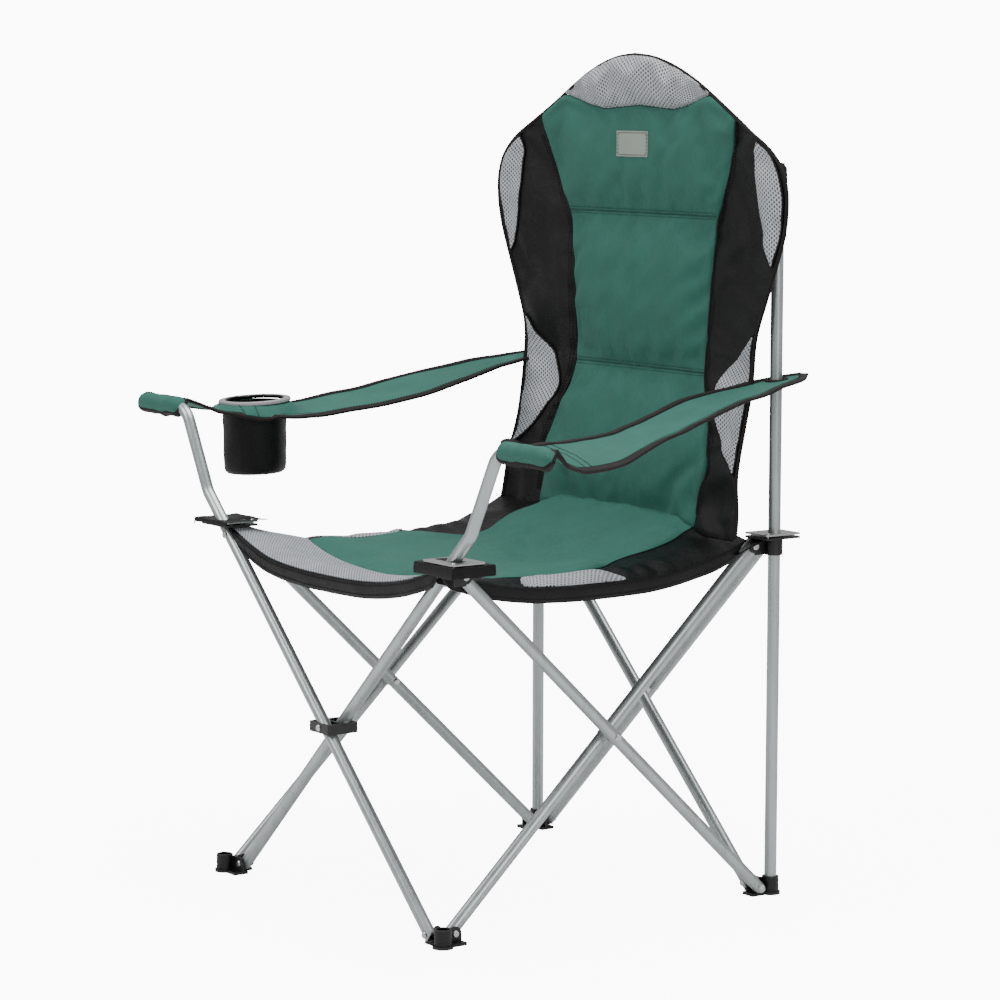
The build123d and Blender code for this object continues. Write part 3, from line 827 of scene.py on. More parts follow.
def back_depth(x, z):
    """How far back the unpadded cloth lies: it hangs in a shallow bucket between the uprights."""
    wide = np.maximum(half_width(np.minimum(z, SHOULDER_Z)), WAIST_X)
    reach = np.clip(np.abs(x) / wide, 0, 1.1)
    return curve(z, CENTRE_Z, CENTRE_DEPTH) - BUCKET * reach**2.6


def crown(q, power=0.6):
    """The rise of a stuffed panel, from 0 at its seams (q of -1 and 1) to 1 in its middle."""
    return np.maximum(1 - np.abs(q) ** 2.4, 0) ** power


def pad_rows():
    """The padded middle as a grid of (x, z), the puff of its channels, and its seams' rows."""
    rows, puff, seams = [], [], []
    for low, high, count, swell in CHANNELS:
        seams.append(len(rows))
        for k in range(count + (high is None)):
            t = k / count
            if high is not None:
                z = low + t * (high - low)
                x = S * side_seam(z)
            else:
                top_x = np.sign(S) * np.interp(np.abs(S), CAP_S, CAP_X)
                straight = (1 - t) * side_seam(low) + t * CAP_X[-1]
                bow = side_seam(low + t * (SHOULDER_Z - low)) - straight
                x = (1 - t) * S * side_seam(low) + t * top_x + np.sign(S) * np.abs(S) ** 1.5 * bow
                z = (1 - t) * low + t * np.interp(np.abs(S), CAP_S, CAP_Z)
            rows.append(coords(x, z))
            puff.append(swell * crown(S, 0.5) * crown(2 * t - 1, 0.55))
    return np.array(rows), np.array(puff), seams + [len(rows) - 1]


def layer(xz, depth):
    """Points (x, z) at a depth, all in millimetres, as metres."""
    return metres(coords(xz[..., 0], depth, xz[..., 1]))


def pins(rows, cols, seam_rows, hold_back=True):
    """Which points of a two-layer shell stay where they are: its seams, sides and perhaps its back."""
    hold = np.zeros((rows, cols), bool)
    hold[list(seam_rows), :] = True
    hold[:, [0, -1]] = True
    back = np.ones_like(hold) if hold_back else hold
    return np.concatenate([hold.ravel(), back.ravel()])


pad_xz, pad_puff, pad_seams = pad_rows()
flat_depth = back_depth(pad_xz[..., 0], pad_xz[..., 1])
wrinkle = 0.9 * ripple(pad_xz[..., 0], pad_xz[..., 1], 45, 3) * (pad_puff / 12)
for seam in (CREASE_Z + 12, LOW_SEAM_Z, HIGH_SEAM_Z):
    away = np.abs(pad_xz[..., 1] - seam)
    pucker = ripple(pad_xz[..., 0] * 1.6, pad_xz[..., 1] * 0.25, 34, 4)
    wrinkle = wrinkle + 1.7 * np.exp(-away / 13) * ramp(away, 0, 5) * pucker
pad = shell(
    layer(pad_xz, flat_depth - 1.5 - 0.62 * pad_puff - wrinkle),
    layer(pad_xz, flat_depth + 2.5 + 0.22 * pad_puff),
    back_paint=1,
)
inflate(pad, pins(*pad_puff.shape, pad_seams), pressure=3.2, growth=0.045, cap=0.011)
pad.refine()

# the stuffed mesh panel across the top of the back
head_x = HEAD_X * S
head_low = coords(head_x, cap_z(head_x) - 0.5)
head_high = coords(head_x * 1.004, arch_z(head_x) + 0.8)
T = np.linspace(0, 1, 13)[:, None, None]
head_xz = (1 - T) * head_low + T * head_high
head_tall = (head_high - head_low)[:, 1] / 66
head_puff = 15 * crown(S, 0.5) * crown(2 * T[:, :, 0] - 1, 0.55) * np.clip(head_tall, 0.05, 1)
head_depth = back_depth(head_xz[..., 0], head_xz[..., 1])
head = shell(
    layer(head_xz, head_depth - 1.8 - 0.7 * head_puff),
    layer(head_xz, head_depth + 2.6 + 0.25 * head_puff),
    back_paint=1,
)
inflate(head, pins(*head_puff.shape, (0, -1)), pressure=2.5, growth=0.04, cap=0.008)
head.refine()

# the black side panels, whose inner edges are tucked behind the pad
WING_TUCK, WING_CLOTH = 6, 1.8
wing_z = np.concatenate([np.linspace(467, 940, 60), np.linspace(946, 1001, 10)])
W = np.linspace(0, 1, 13)
wings = {}
for side, sign in SIDES.items():
    inner = side_seam(wing_z) - WING_TUCK
    outer = np.maximum(half_width(wing_z), inner + 0.6)
    if side == "left":
        outer = np.where(wing_z < LEFT_LOW_Z, np.minimum(outer, LEFT_LOW_X), outer)
    xz = coords(sign * np.linspace(inner, outer, len(W), axis=1), wing_z[:, None])
    x, z = xz[..., 0], xz[..., 1]
    wide = np.clip((outer - inner) / 90, 0, 1)[:, None]
    bulge = 4.0 * wide * crown(2 * W - 1, 0.8)
    folds = 2.6 * wide * crown(2 * W - 1, 0.7) * ripple(x * 1.5, z * 0.8, 85, 11 if sign > 0 else 12)
    depth = back_depth(x, z) - bulge + folds + 2.4 * np.clip(1 - W / 0.12, 0, 1)
    xz, depth = xz[:, ::sign], depth[:, ::sign]
    wing = shell(layer(xz, depth), layer(xz, depth + WING_CLOTH))
    still = pins(*depth.shape, (0, -1), hold_back=False)
    inflate(wing, still, pressure=0.5, growth=0.03, cap=0.006, frames=16, bending=0.3)
    wings[side] = wing.refine()

skin = join([pad, head, *wings.values()]).tree()


def on_back(xz, lift):
    """Points (x, z) in millimetres, laid on the front of the back and raised by lift metres."""
    xz = np.array(xz, float)
    out = layer(xz, 0.0)
    for p, (x, z) in zip(out.reshape(-1, 3), xz.reshape(-1, 2)):
        hit = skin.ray_cast(Vector((p[0], -CLEAR_OF_CHAIR, p[2])), Vector((0, 1, 0)))[0]
        p[1] = (metres([0, back_depth(x, z), 0])[1] if hit is None else hit[1]) - lift
    return out


def patch(z, inner, outer, sign, columns=9, swell=0.0012):
    """A thin mesh panel sewn on the back, between two side lines."""
    x = sign * np.linspace(inner, outer, columns, axis=1)
    base = on_back(coords(x, z[:, None])[:, ::sign], 0.0)
    puff = swell * crown(np.linspace(-1, 1, columns), 0.6)
    return shell(base + TOWARD_SITTER * (0.0013 + puff)[:, None], base + TOWARD_SITTER * 0.0002)


# Each mesh panel on the back: rows, its inner edge's heights and half widths, and its outer margin.
BACK_MESH = {
    "upper": (41, (816, 845, 870, 905, 935, 960, 974), (284, 268, 262, 257, 252, 250, 257), 6),
    "middle": (
        45,
        (551, 572, 590, 615, 645, 660, 680, 698, 727),
        (243, 218, 195, 178, 168, 173, 190, 217, 246),
        4,
    ),
}
back_patches = {}
for side, sign in SIDES.items():
    for name, (rows, inner_z, inner_x, margin) in BACK_MESH.items():
        z = np.linspace(inner_z[0], inner_z[-1], rows)
        outer = half_width(z) - margin
        inner = np.minimum(curve(z, inner_z, inner_x), outer - 0.5)
        back_patches[f"back_mesh_{name}_{side}"] = patch(z, inner, outer, sign)


# ---------------------------------------------------------------- seat
SEAT_X, SEAT_FRONT, SEAT_REAR = 256, -264, 214
# The green pad: its front edge, and its half widths from front to rear.
GREEN_FRONT = -160
GREEN_Y = (-165, -120, -95, -60, -30, -10, 10, 40, 70, 95, 125, 160, 186, 215)
GREEN_X = (214, 219, 216, 212, 213, 212, 205, 186, 163, 158, 168, 172, 166, 172)
# Heights in the middle of each edge and at the corners.
SIDE_Z, FRONT_Z, REAR_Z, CORNER_Z = 450, 449, 490, 468
REAR_CORNER_Z = CORNER_Z + 2
SEAT_DIP, EDGE_ROLL, LEFT_CORNER_LIFT = 32, 22, 11
BASE_CLOTH, PAD_SINK = 2.2, 3.0


def green_half(y):
    return curve(y, GREEN_Y, GREEN_X)


def seat_z(x, y):
    """Height of the hung cloth: four held corners, edges that sag and roll over, a shallow bowl."""
    u = np.clip(x / SEAT_X, -1, 1)
    t = ramp(y, SEAT_FRONT, SEAT_REAR)
    v = 2 * t - 1
    side = SIDE_Z + (CORNER_Z - SIDE_Z) * np.abs(v) ** 2.4
    front = FRONT_Z + (CORNER_Z - FRONT_Z) * np.abs(u) ** 2.4
    rear = REAR_Z + (REAR_CORNER_Z - REAR_Z) * np.abs(u) ** 3
    corners = (1 - t) * CORNER_Z + t * REAR_CORNER_Z
    bowl = SEAT_DIP * (1 - np.abs(u) ** 2.6) * (1 - np.abs(v) ** 2.6)
    roll_x = ramp(np.abs(u), 0.84, 1) ** 1.7 * (1 - np.abs(v) ** 3)
    roll_y = ramp(-v, 0.83, 1) ** 1.7 * (1 - np.abs(u) ** 3)
    lift = LEFT_CORNER_LIFT * ramp(-u, 0.55, 1) * ramp(-v, 0.55, 1)
    left_rise = (22 * ramp(v, 0.4, 1) ** 1.6 + 5 * (1 - v**4)) * np.clip(-u, 0, 1) ** 5
    hung = (1 - t) * front + t * rear + side - corners - bowl
    return hung - EDGE_ROLL * (roll_x + roll_y) + lift + left_rise


def seat_points(x, y, lift):
    return metres(coords(x, y, seat_z(x, y) + lift))


gx, gy = np.meshgrid(np.linspace(-SEAT_X, SEAT_X, 105), np.linspace(SEAT_FRONT, SEAT_REAR, 97))
out_x = np.abs(gx)
beside_pad = ramp(out_x - green_half(gy), 0, 30) * ramp(SEAT_X - out_x, 0, 12)
slack = 1.5 * ripple(gx, gy, 110, 21) * (1 - (out_x / SEAT_X) ** 4) * beside_pad
slack = slack + 1.8 * beside_pad * ripple(gx * 0.5, gy * 1.6, 60, 22)
slack = slack - PAD_SINK * ramp(green_half(gy) - out_x, 0, 20) * ramp(gy - GREEN_FRONT, 6, 20)
base = shell(seat_points(gx, gy, slack), seat_points(gx, gy, slack - BASE_CLOTH)).refine()

pad_t = np.linspace(0, 1, 64)[:, None]
pad_y = GREEN_FRONT + pad_t * (SEAT_REAR - 2 - GREEN_FRONT)
px = S * green_half(pad_y)
py = pad_y + 9 * np.abs(S) ** 3 * (1 - pad_t) ** 4
seat_puff = 8 * crown(S, 0.32) * np.sin(ramp(pad_t, 0, 0.05) * math.pi / 2)
seat_puff = seat_puff + 1.6 * ripple(px, py * 0.7, 95, 31) * crown(S, 0.5)
seat_pad = shell(seat_points(px, py, 1.0 + seat_puff), seat_points(px, py, 0.2))
inflate(seat_pad, pins(*px.shape, (0, -1)), pressure=1.6, growth=0.022, cap=0.006, frames=16)
seat_pad.refine()

ground = join([base, seat_pad]).tree()


def on_seat(x, y, lift):
    """Points laid on top of the seat and raised by lift metres along the cloth's own normal."""
    out = seat_points(x, y, 0.0)
    for p in out.reshape(-1, 3):
        hit, normal, _, _ = ground.ray_cast(Vector((p[0], p[1], CLEAR_OF_CHAIR)), Vector((0, 0, -1)))
        if hit is not None:
            p[:] = np.array(hit) + np.array(normal) * lift
        else:
            p[2] += lift
    return out


# The side mesh's inner edge, and the front mesh's span between its two tips.
MESH_Y = (-134, -122, -100, -60, -30, -8, 8, 22)
MESH_X = (246, 228, 218, 213, 214, 217, 230, 250)
TIP_LEFT, TIP_RIGHT = -244, 196
seat_patches = {}
for side, sign in SIDES.items():
    y = np.linspace(MESH_Y[0], MESH_Y[-1], 33)
    inner = curve(y, MESH_Y, MESH_X)
    x = sign * np.linspace(inner, np.full_like(y, SEAT_X - 3), 9, axis=1)[:, ::sign]
    y = y[:, None]
    seat_patches["seat_mesh_" + side] = shell(on_seat(x, y, 0.0016), on_seat(x, y, 0.0002))
x = curve(np.linspace(-1, 1, 81), (-1, 0, 1), (TIP_LEFT, (TIP_LEFT + TIP_RIGHT) / 2, TIP_RIGHT))
front_line = np.full_like(x, SEAT_FRONT + 4)
rear_line = np.minimum(
    GREEN_FRONT + 8 * (np.abs(x) / 214) ** 3 - 1,
    SEAT_FRONT + 16 + 2.9 * np.minimum(x - TIP_LEFT + 6, TIP_RIGHT + 2 - x),
)
y = np.linspace(front_line, np.maximum(rear_line, front_line + 1), 13)
seat_patches["seat_mesh_front"] = shell(on_seat(x, y, 0.0017), on_seat(x, y, 0.0002))


# ---------------------------------------------------------------- seams, piping, hems and tabs
def frame_corner(end, side):
    """A corner plate's centre and half size, in millimetres around the frame's axis."""
    low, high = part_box(f"seat_plate_{end}_{side}")
    return from_frame((low + high) / 2), np.array(high - low) * 500


def outline():
    """The back's outer edge, from its lower right end over the arch to its lower left end."""
    z = np.linspace(472, SHOULDER_Z, 96)
    x = np.linspace(209, -209, 61)
    right = coords(half_width(z), z)
    left = coords(-np.where(z < LEFT_LOW_Z, np.minimum(half_width(z), LEFT_LOW_X), half_width(z)), z)
    return np.concatenate([right, coords(x, arch_z(x)), left[::-1]])


edge_xz = outline()
edge = layer(edge_xz, back_depth(edge_xz[:, 0], edge_xz[:, 1]) + 0.6)
back_piping = cord_along(edge, TOWARD_SITTER, 0.0024, 1.15)

green_rows, black_rows, seam_cords = [], [], []
for seam in (LOW_SEAM_Z, HIGH_SEAM_Z):
    x = np.linspace(-side_seam(seam) + 3, side_seam(seam) - 3, 90)
    green_rows.append(cord_along(on_back(coords(x, seam), 0.0002), TOWARD_SITTER, 0.0008, 1.5))
    for off in (-4.0, 4.0):
        green_rows.append(stitches(on_back(coords(x, seam + off), 0.0003), TOWARD_SITTER))
z = np.linspace(492, 996, 150)
for sign in SIDES.values():
    line = on_back(coords(sign * (side_seam(z) + 0.5), z), 0.0003)
    seam_cords.append(cord_along(line, TOWARD_SITTER, 0.0012, 1.2))
    for off in (5.0, 9.0):
        row = on_back(coords(sign * (side_seam(z) + off), z)[:-6], 0.0004)
        black_rows.append(stitches(row, TOWARD_SITTER))
x = np.linspace(-150, 150, 80)
pale_rows = [stitches(on_back(coords(x, cap_z(x) + 2.5), 0.0004), TOWARD_SITTER, radius=0.0005)]

# the black tape that binds the pad's seams from behind
x, z = np.linspace(-155, 155, 90), np.linspace(480, 986, 110)
taped = [coords(sign * side_seam(z), z) for sign in SIDES.values()]
taped.append(coords(x, cap_z(x) - 2.5 * np.abs(x / 155) ** 4))
seam_tapes = [
    cord_along(layer(xz, back_depth(xz[:, 0], xz[:, 1]) + 3.0), -TOWARD_SITTER, 0.0010, 3.6) for xz in taped
]

# a plain woven label, with no mark on it, and the thread round its edge
LABEL_X, LABEL_Z, LABEL_SEAM = (-34, 32), (950, 984), 2.5
label_xz = np.stack(np.meshgrid(np.linspace(*LABEL_X, 31), np.linspace(*LABEL_Z, 17)), -1)
label_at = on_back(label_xz, 0.0)
label = shell(label_at + TOWARD_SITTER * 0.0010, label_at + TOWARD_SITTER * 0.0002)
x0, x1 = LABEL_X[0] + LABEL_SEAM, LABEL_X[1] - LABEL_SEAM
z0, z1 = LABEL_Z[0] + LABEL_SEAM, LABEL_Z[1] - LABEL_SEAM
label_edge = [(x0, z0), (x1, z0), (x1, z1), (x0, z1), (x0, z0)]
label_row = [
    stitches(on_back(along([a, b], 12), 0.0014), TOWARD_SITTER) for a, b in zip(label_edge, label_edge[1:])
]


def front_rim(piece):
    """The line round a piece's front layer."""
    ring = open_loops([f for f, k in zip(piece.faces, piece.layer) if k == FRONT])[0]
    return piece.verts[list(ring)]


patch_trims = [
    cord_along(front_rim(piece) + TOWARD_SITTER * 0.0001, TOWARD_SITTER, 0.0009, 1.8, True, 8)
    for piece in back_patches.values()
]


def lined_tube(outer, inner, radius, run, downward=False):
    """A two-layer cloth tube from rings of points, open at its first ring and shut at its last."""
    rows, cols = outer.shape[:2]
    n, last = rows * cols, (rows - 1) * cols
    faces = grid_faces(rows, cols, wrap=True) + grid_faces(rows, cols, n, flip=True, wrap=True)
    faces += [((c + 1) % cols, c, n + c, n + (c + 1) % cols) for c in range(cols)]
    if downward:
        faces = [f[::-1] for f in faces]
    faces += [tuple(range(last, n)), tuple(range(n + last, 2 * n))[::-1]]
    layers = [FRONT] * last + [BACK] * last + [RIM] * cols + [FRONT, BACK]
    weave = coords(np.tile(full_turn(cols) * radius, rows), np.repeat(run, cols))
    verts = metres(np.concatenate([outer.reshape(-1, 3), inner.reshape(-1, 3)]))
    return Piece(verts, faces, layers, np.tile(weave, (2, 1)))


# Steps up the pocket and how far each is drawn in: it is gathered shut over the tube's end.
POCKET_Z = 852
POCKET_STEPS = [(t, 1.0) for t in np.linspace(0, 1, 22)[:-1]] + [(1.0, 0.75), (1.02, 0.75), (1.03, 0.3)]


def pocket(sign):
    """The sleeve behind the back that holds the top of an upright."""
    turn = full_turn(32)
    flare = 5 * np.exp(-((((turn + 1.9) % (2 * math.pi)) / 0.9) ** 2))
    rings = []
    for t, tight in POCKET_STEPS:
        z = POCKET_Z + t * (UPRIGHT_TOP - POCKET_Z + 2)
        wave = 0.9 * ripple(turn * 14, np.full_like(turn, z * 0.5), 30, 61)
        x = ((11.0 + wave) * tight + flare) * np.cos(turn)
        y = (11.5 + wave * 0.6) * tight * np.sin(turn)
        rings.append(coords(sign * UPRIGHT_X + x, UPRIGHT_X + y, z))
    outer, inner = np.array(rings), np.array(rings)
    tube = np.array([sign * UPRIGHT_X, UPRIGHT_X])
    inner[..., :2] = tube + (outer[..., :2] - tube) * 0.9
    return lined_tube(outer, inner, 0.0115, outer[:, 0, 2] * 0.001)


HEM_DROP = 19
HEM_OUT = {"front": (0, -1), "right": (1, 0), "left": (-1, 0)}
CLOTH_HALF = 0.0009


def hem(side):
    """The folded border that hangs from the seat's free edge, and its two rows of stitches."""
    run = np.linspace(-1, 1, 161)
    down = np.linspace(0, 1, 9)
    out = np.array([*HEM_OUT[side], 0.0])
    if side == "front":
        x, y = run * SEAT_X, SEAT_FRONT + 0.6
    else:
        x, y = out[0] * (SEAT_X - 0.6), SEAT_FRONT + (SEAT_REAR - SEAT_FRONT) * (run + 1) / 2
    edge = seat_points(x, y, -0.4)
    ends = np.clip((1 - np.abs(run)) / 0.07, 0.25, 1)
    wave = 1.2 * ripple(run * 250, np.zeros_like(run), 60, 71)
    lean = (0.8 + wave[:, None]) * down - 3.5 * down**2
    grid = edge[:, None] + 0.001 * lean[..., None] * out
    grid[..., 2] -= 0.001 * HEM_DROP * ends[:, None] * down
    outside, inside = grid + out * CLOTH_HALF, grid - out * CLOTH_HALF
    facing = 1 if side == "left" else -1
    rows = [stitches(outside[4:-4, k] + out * 0.0003, out) for k in (1, 6)]
    return shell(outside[:, ::facing], inside[:, ::facing]), rows


def corner_tab(side, over):
    """Doubled cloth that wraps a front corner: clamped under its plate, or drawn over it."""
    centre, half = frame_corner("front", side)
    x_sign, y_sign = SIDES[side], -1
    shift, height, limit, fall = (-9, 3.2, 4.5, 7) if over else (0, -0.9, -1.0, 15)
    a = np.linspace(-1.35, 1.35, 28)
    ax, ay = np.meshgrid(a, a)
    skirt_x = ramp(np.abs(ax), 1, 2) / 0.35 * (np.sign(ax) == x_sign)
    skirt_y = ramp(np.abs(ay), 1, 2) / 0.35 * (np.sign(ay) == y_sign)
    both = np.hypot(skirt_x, skirt_y)
    drop = fall * both**1.6 + 1.5 * ripple(ax * 25, ay * 25, 40, 82) * np.clip(both, 0, 1)
    x = np.where(skirt_x > 0, np.sign(ax), ax) * (half[0] + 2.0) + x_sign * 1.5 * skirt_x
    y = np.where(skirt_y > 0, np.sign(ay), ay) * (half[1] + 2.0) + y_sign * 1.5 * skirt_y
    z = np.minimum(height - drop + 0.8 * ripple(ax * 30, ay * 30, 26, 81), limit)
    top = metres(coords(centre[0] + shift + x, centre[1] + y, centre[2] - 1 + z))
    return shell(top, top - np.array([x_sign * CLOTH_HALF, y_sign * CLOTH_HALF, 0.0008])).refine()


def rear_strap(side):
    """The strap from under the seat's rear corner to the slider's plate."""
    centre, _ = frame_corner("rear", side)
    sign = SIDES[side]
    t = np.linspace(0, 1, 25)[:, None, None]
    w = W[None]
    start = coords(sign * (196 + 52 * w), 196 - 26 * w, 452.0)
    stop = coords(sign * (abs(centre[0]) - 25 + 40 * w), centre[1] - 10 - 14 * w, centre[2] - 3.0)
    grid = start * (1 - t) + stop * t
    grid[..., 2] -= 9 * np.sin(math.pi * t[..., 0]) + 1.5 * ripple(grid[..., 0], grid[..., 1], 30, 91)
    top = metres(grid)[:, ::-sign]
    return shell(top, top - np.array([0, 0, 0.0016])).refine()


# ---------------------------------------------------------------- armrests
# Height of the cloth, and its outer and inner edges, from the post's end to behind the upright.
ARM_Y = (-250, -200, -150, -54, 20, 60, 96, 140, 187, 240, 300)
ARM_HEIGHT = (625, 619, 617, 617, 624, 633, 643, 652, 660, 668, 675)
ARM_OUT_Y = (-250, -150, -37, 50, 116, 187, 222, 250, 275, 300)
ARM_OUT_X = (461, 420, 386, 361, 343, 324, 313, 303, 291, 266)
ARM_IN_Y = (-250, -150, -81, 33, 120, 185, 222, 250, 275, 300)
ARM_IN_X = (352, 322, 300, 256, 237, 237, 240, 241, 242, 250)
ARM_SPLIT_Y = 20
# How far the cloth's edges hang below its middle.
DROOP_Y = (-262, -245, -200, -150, -100, -60, -20, 120, 180)
DROOP_OUT = (6, 12, 19, 24, 20, 10, 2, 0, 0)
DROOP_IN = (3, 5, 10, 11, 12, 12, 10, 6, 0)
# The sleeve round the post's end.
POST_Z, SLEEVE = 615, 12.2
ARM_COLUMNS = 25
MIDDLE = ARM_COLUMNS // 2
GROMMET_R = 13.2
post_y = {side: (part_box("arm_front_" + side)[0][1] - CENTRE_Y) * 1000 + 11 for side in SIDES}
cup_low, cup_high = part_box("cup_ring")
CUP = from_frame((cup_low + cup_high) / 2)
CUP_R = (cup_high[0] - cup_low[0]) * 500


def arm_z(y, side):
    z = curve(y, ARM_Y, ARM_HEIGHT)
    if side == "left":
        z = z - 7 * np.exp(-(((y - CUP[1]) / 95) ** 2))
    return z


def arm_grid(side):
    """Armrest cloth: it starts under the post's end, rolls over it, and runs back to the upright."""
    sign, y0 = SIDES[side], post_y[side]
    w = np.linspace(0, 1, ARM_COLUMNS)
    turn = np.radians(np.linspace(-100, 82, 15))
    rolled = len(turn)
    wrap_y, wrap_z = y0 - SLEEVE * np.cos(turn), POST_Z + SLEEVE * np.sin(turn)
    run_y = np.linspace(y0 + 5, 300, 112)
    meet = np.clip((run_y - y0) / 45, 0, 1) ** 0.6
    run_z = arm_z(run_y, side) * meet + (POST_Z + SLEEVE + 0.2) * (1 - meet)
    y = np.concatenate([wrap_y, run_y])
    inner = curve(np.maximum(y, ARM_IN_Y[0]), ARM_IN_Y, ARM_IN_X)
    outer = curve(np.maximum(y, ARM_OUT_Y[0]), ARM_OUT_Y, ARM_OUT_X)
    if side == "left":
        beside_cup = np.exp(-(((y - CUP[1]) / 62) ** 2))
        inner, outer = inner - 25 * beside_cup, outer + 5 * beside_cup
    y = y[:, None]
    grid = coords(sign * np.linspace(inner, outer, ARM_COLUMNS, axis=1), y, 0.0)
    x, yy, zz = grid[..., 0], grid[..., 1], grid[..., 2]
    zz[:] = np.concatenate([wrap_z, run_z])[:, None]
    # the sleeve's ends are drawn shut round the post's end
    shut = 1 - 0.8 * ramp(np.abs(2 * w - 1), 0.82, 1) ** 2
    yy[:rolled] = y0 + (wrap_y[:, None] - y0) * shut**0.5
    zz[:rolled] = POST_Z + (wrap_z[:, None] - POST_Z) * shut
    # the edges droop, the middle sags, and the cloth puckers near the sleeve
    droop = curve(np.maximum(y, DROOP_Y[0]), DROOP_Y, DROOP_OUT) * w**2.4
    if side == "left":
        droop = 0.4 * droop + curve(np.maximum(y, DROOP_Y[0]), DROOP_Y, DROOP_IN) * (1 - w) ** 3
    droop *= np.clip((y - y0) / 30, 0, 1)
    droop[:rolled] = 0
    free = np.clip((y - y0 - 10) / 60, 0, 1) * np.clip((258 - y) / 40, 0.15, 1)
    pull = np.exp(-np.abs(y - y0 - 22) / 42)
    seed = 41 if sign > 0 else 42
    zz -= droop + 3.5 * free * (1 - (2 * w - 1) ** 2)
    zz += 2.0 * pull * ripple(x * 1.7, yy * 0.5, 42, seed) + 1.0 * free * ripple(x, yy, 75, seed + 4)
    if side == "left":
        # the cloth gathers round the cup's ring and is clamped under it
        far = np.hypot(x - CUP[0], yy - CUP[1])
        angle = np.arctan2(yy - CUP[1], x - CUP[0])
        zz += 1.3 * np.exp(-(((far - CUP_R) / 22) ** 2)) * np.sin(7 * angle + 1.1)
        hold = np.clip((CUP_R + 9 - far) / 9, 0, 1) ** 0.7
        zz[:] = zz * (1 - hold) + hold * (CUP[2] - 3.2 + (yy - CUP[1]) * 0.03)
    return grid, rolled


def arm_zone(p):
    side = "right" if p[0] > 0 else "left"
    return ("front_" if (p[1] - CENTRE_Y) * 1000 < ARM_SPLIT_Y else "rear_") + side


def fold_arm(obj, zone):
    """Bakes each half's place into its mesh; the points it would bend from, at the post's end or just before
    the upright, are worked out but not used.
    """
    end, side = zone.split("_")
    sign = SIDES[side]
    if end == "front":  # from the sleeve on the post's end
        start, stop = (sign * 404, post_y[side] + 8, POST_Z), (sign * 390, post_y[side] + 60, POST_Z)
    else:  # from just before the upright
        start, stop = (sign * 268, 240, 668), (sign * 284, 190, 660)
    tuple(metres(start))
    tuple(metres(stop))
    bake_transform(obj)


def arm_hole(p):
    """Whether a face lies in the hole for an upright or for the cup."""
    x, y, _ = from_frame(p)
    if math.hypot(abs(x) - UPRIGHT_X, y - UPRIGHT_X) < TUBE_R + 3.0:
        return True
    return math.hypot(x - CUP[0], y - CUP[1]) < CUP_R - 7


arms, arm_trims, arm_threads = {}, [], []
for side, sign in SIDES.items():
    grid, rolled = arm_grid(side)
    n = sign * unit(np.cross(np.gradient(grid, axis=1), np.gradient(grid, axis=0)))
    cloth = metres(grid)
    upper, lower = cloth + n * CLOTH_HALF, cloth - n * CLOTH_HALF
    arms[side] = shell(upper[:, ::sign], lower[:, ::sign], skip=arm_hole).refine()
    for col, first in ((0, 0), (-1, 8)):
        line, inward = cloth[first:, col], cloth[first:, MIDDLE]
        edge = line - unit(line - inward) * 0.0035
        up = n[first:, col]
        arm_trims.append(sweep(edge, unit(np.cross(tangents(edge), up)), up, oval(0.0058, 0.0023, 14, 3.2)))
        inset = edge - unit(edge - inward) * 0.0047
        arm_threads.append(stitches(inset + up * 0.0024, up))
    for row in (3, len(grid) - 1):
        line, up = cloth[row], n[row]
        arm_trims.append(sweep(line, np.cross(tangents(line), up), up, oval(0.0055, 0.0024, 14, 3.2)))
    for row in (rolled + 14, rolled + 17):
        arm_threads.append(stitches(cloth[row] + n[row] * 0.0013, n[row]))
    # grommet around the upright
    turn = full_turn(40)
    slope = (arm_z(np.array(270.0), side) - arm_z(np.array(246.0), side)) / 24
    rise = arm_z(np.array(UPRIGHT_X), side) + slope * GROMMET_R * np.sin(turn)
    ring = coords(sign * UPRIGHT_X + GROMMET_R * np.cos(turn), UPRIGHT_X + GROMMET_R * np.sin(turn), rise)
    arm_trims.append(cord_along(metres(ring), (0, -0.2, 1), 0.0021, 1.35, True))


# ---------------------------------------------------------------- cup pouch
# The bag's radius at each share of its depth, round the seam of its bottom to near its middle.
POUCH_DEPTH = (0.0, 0.03, 0.1, 0.25, 0.4, 0.55, 0.7, 0.82, 0.9, 0.95, 0.98, 1.0, 1.004, 1.0, 0.995)
POUCH_R = (43.2, 43.6, 43.2, 42.9, 42.8, 42.9, 42.9, 42.6, 42.2, 41.4, 39.8, 37.0, 30.0, 18.0, 6.0)
CUP_LEAN = 0.03


def pouch():
    """The cup's cloth bag: a soft tube with a gathered side seam and a stitched round bottom."""
    low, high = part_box("cup_pouch")
    deep = (high[2] - low[2]) * 1000
    turn = full_turn(72)
    rings = []
    for depth, r in zip(POUCH_DEPTH, POUCH_R):
        wave = 1.3 * ripple(turn * 42, np.full_like(turn, depth * 92), 46, 51)
        wave -= 1.6 * np.exp(-((((turn - 5.35) % (2 * math.pi)) / 0.07) ** 2))
        wave *= math.sin(math.pi * min(max(depth, 0.02), 0.98)) ** 0.5
        r = r + wave * (r / 44)
        z = CUP[2] - 3.0 - depth * deep * 0.985 + CUP_LEAN * r * np.sin(turn)
        rings.append(coords(CUP[0] + r * np.cos(turn), CUP[1] + r * np.sin(turn), z))
    outer, inner = np.array(rings), np.array(rings)
    inner[..., :2] = CUP[:2] + (outer[..., :2] - CUP[:2]) * 0.965
    inner[..., 2] += 1.3 * np.linspace(0, 1, len(rings))[:, None] ** 4
    return lined_tube(outer, inner, 0.043, np.array(POUCH_DEPTH) * deep * 0.001, downward=True)


# ---------------------------------------------------------------- assemble: the back
def back_part(name, piece, *materials, zone=back_zone):
    return deal(name, piece, materials, zone, fold_back).items()


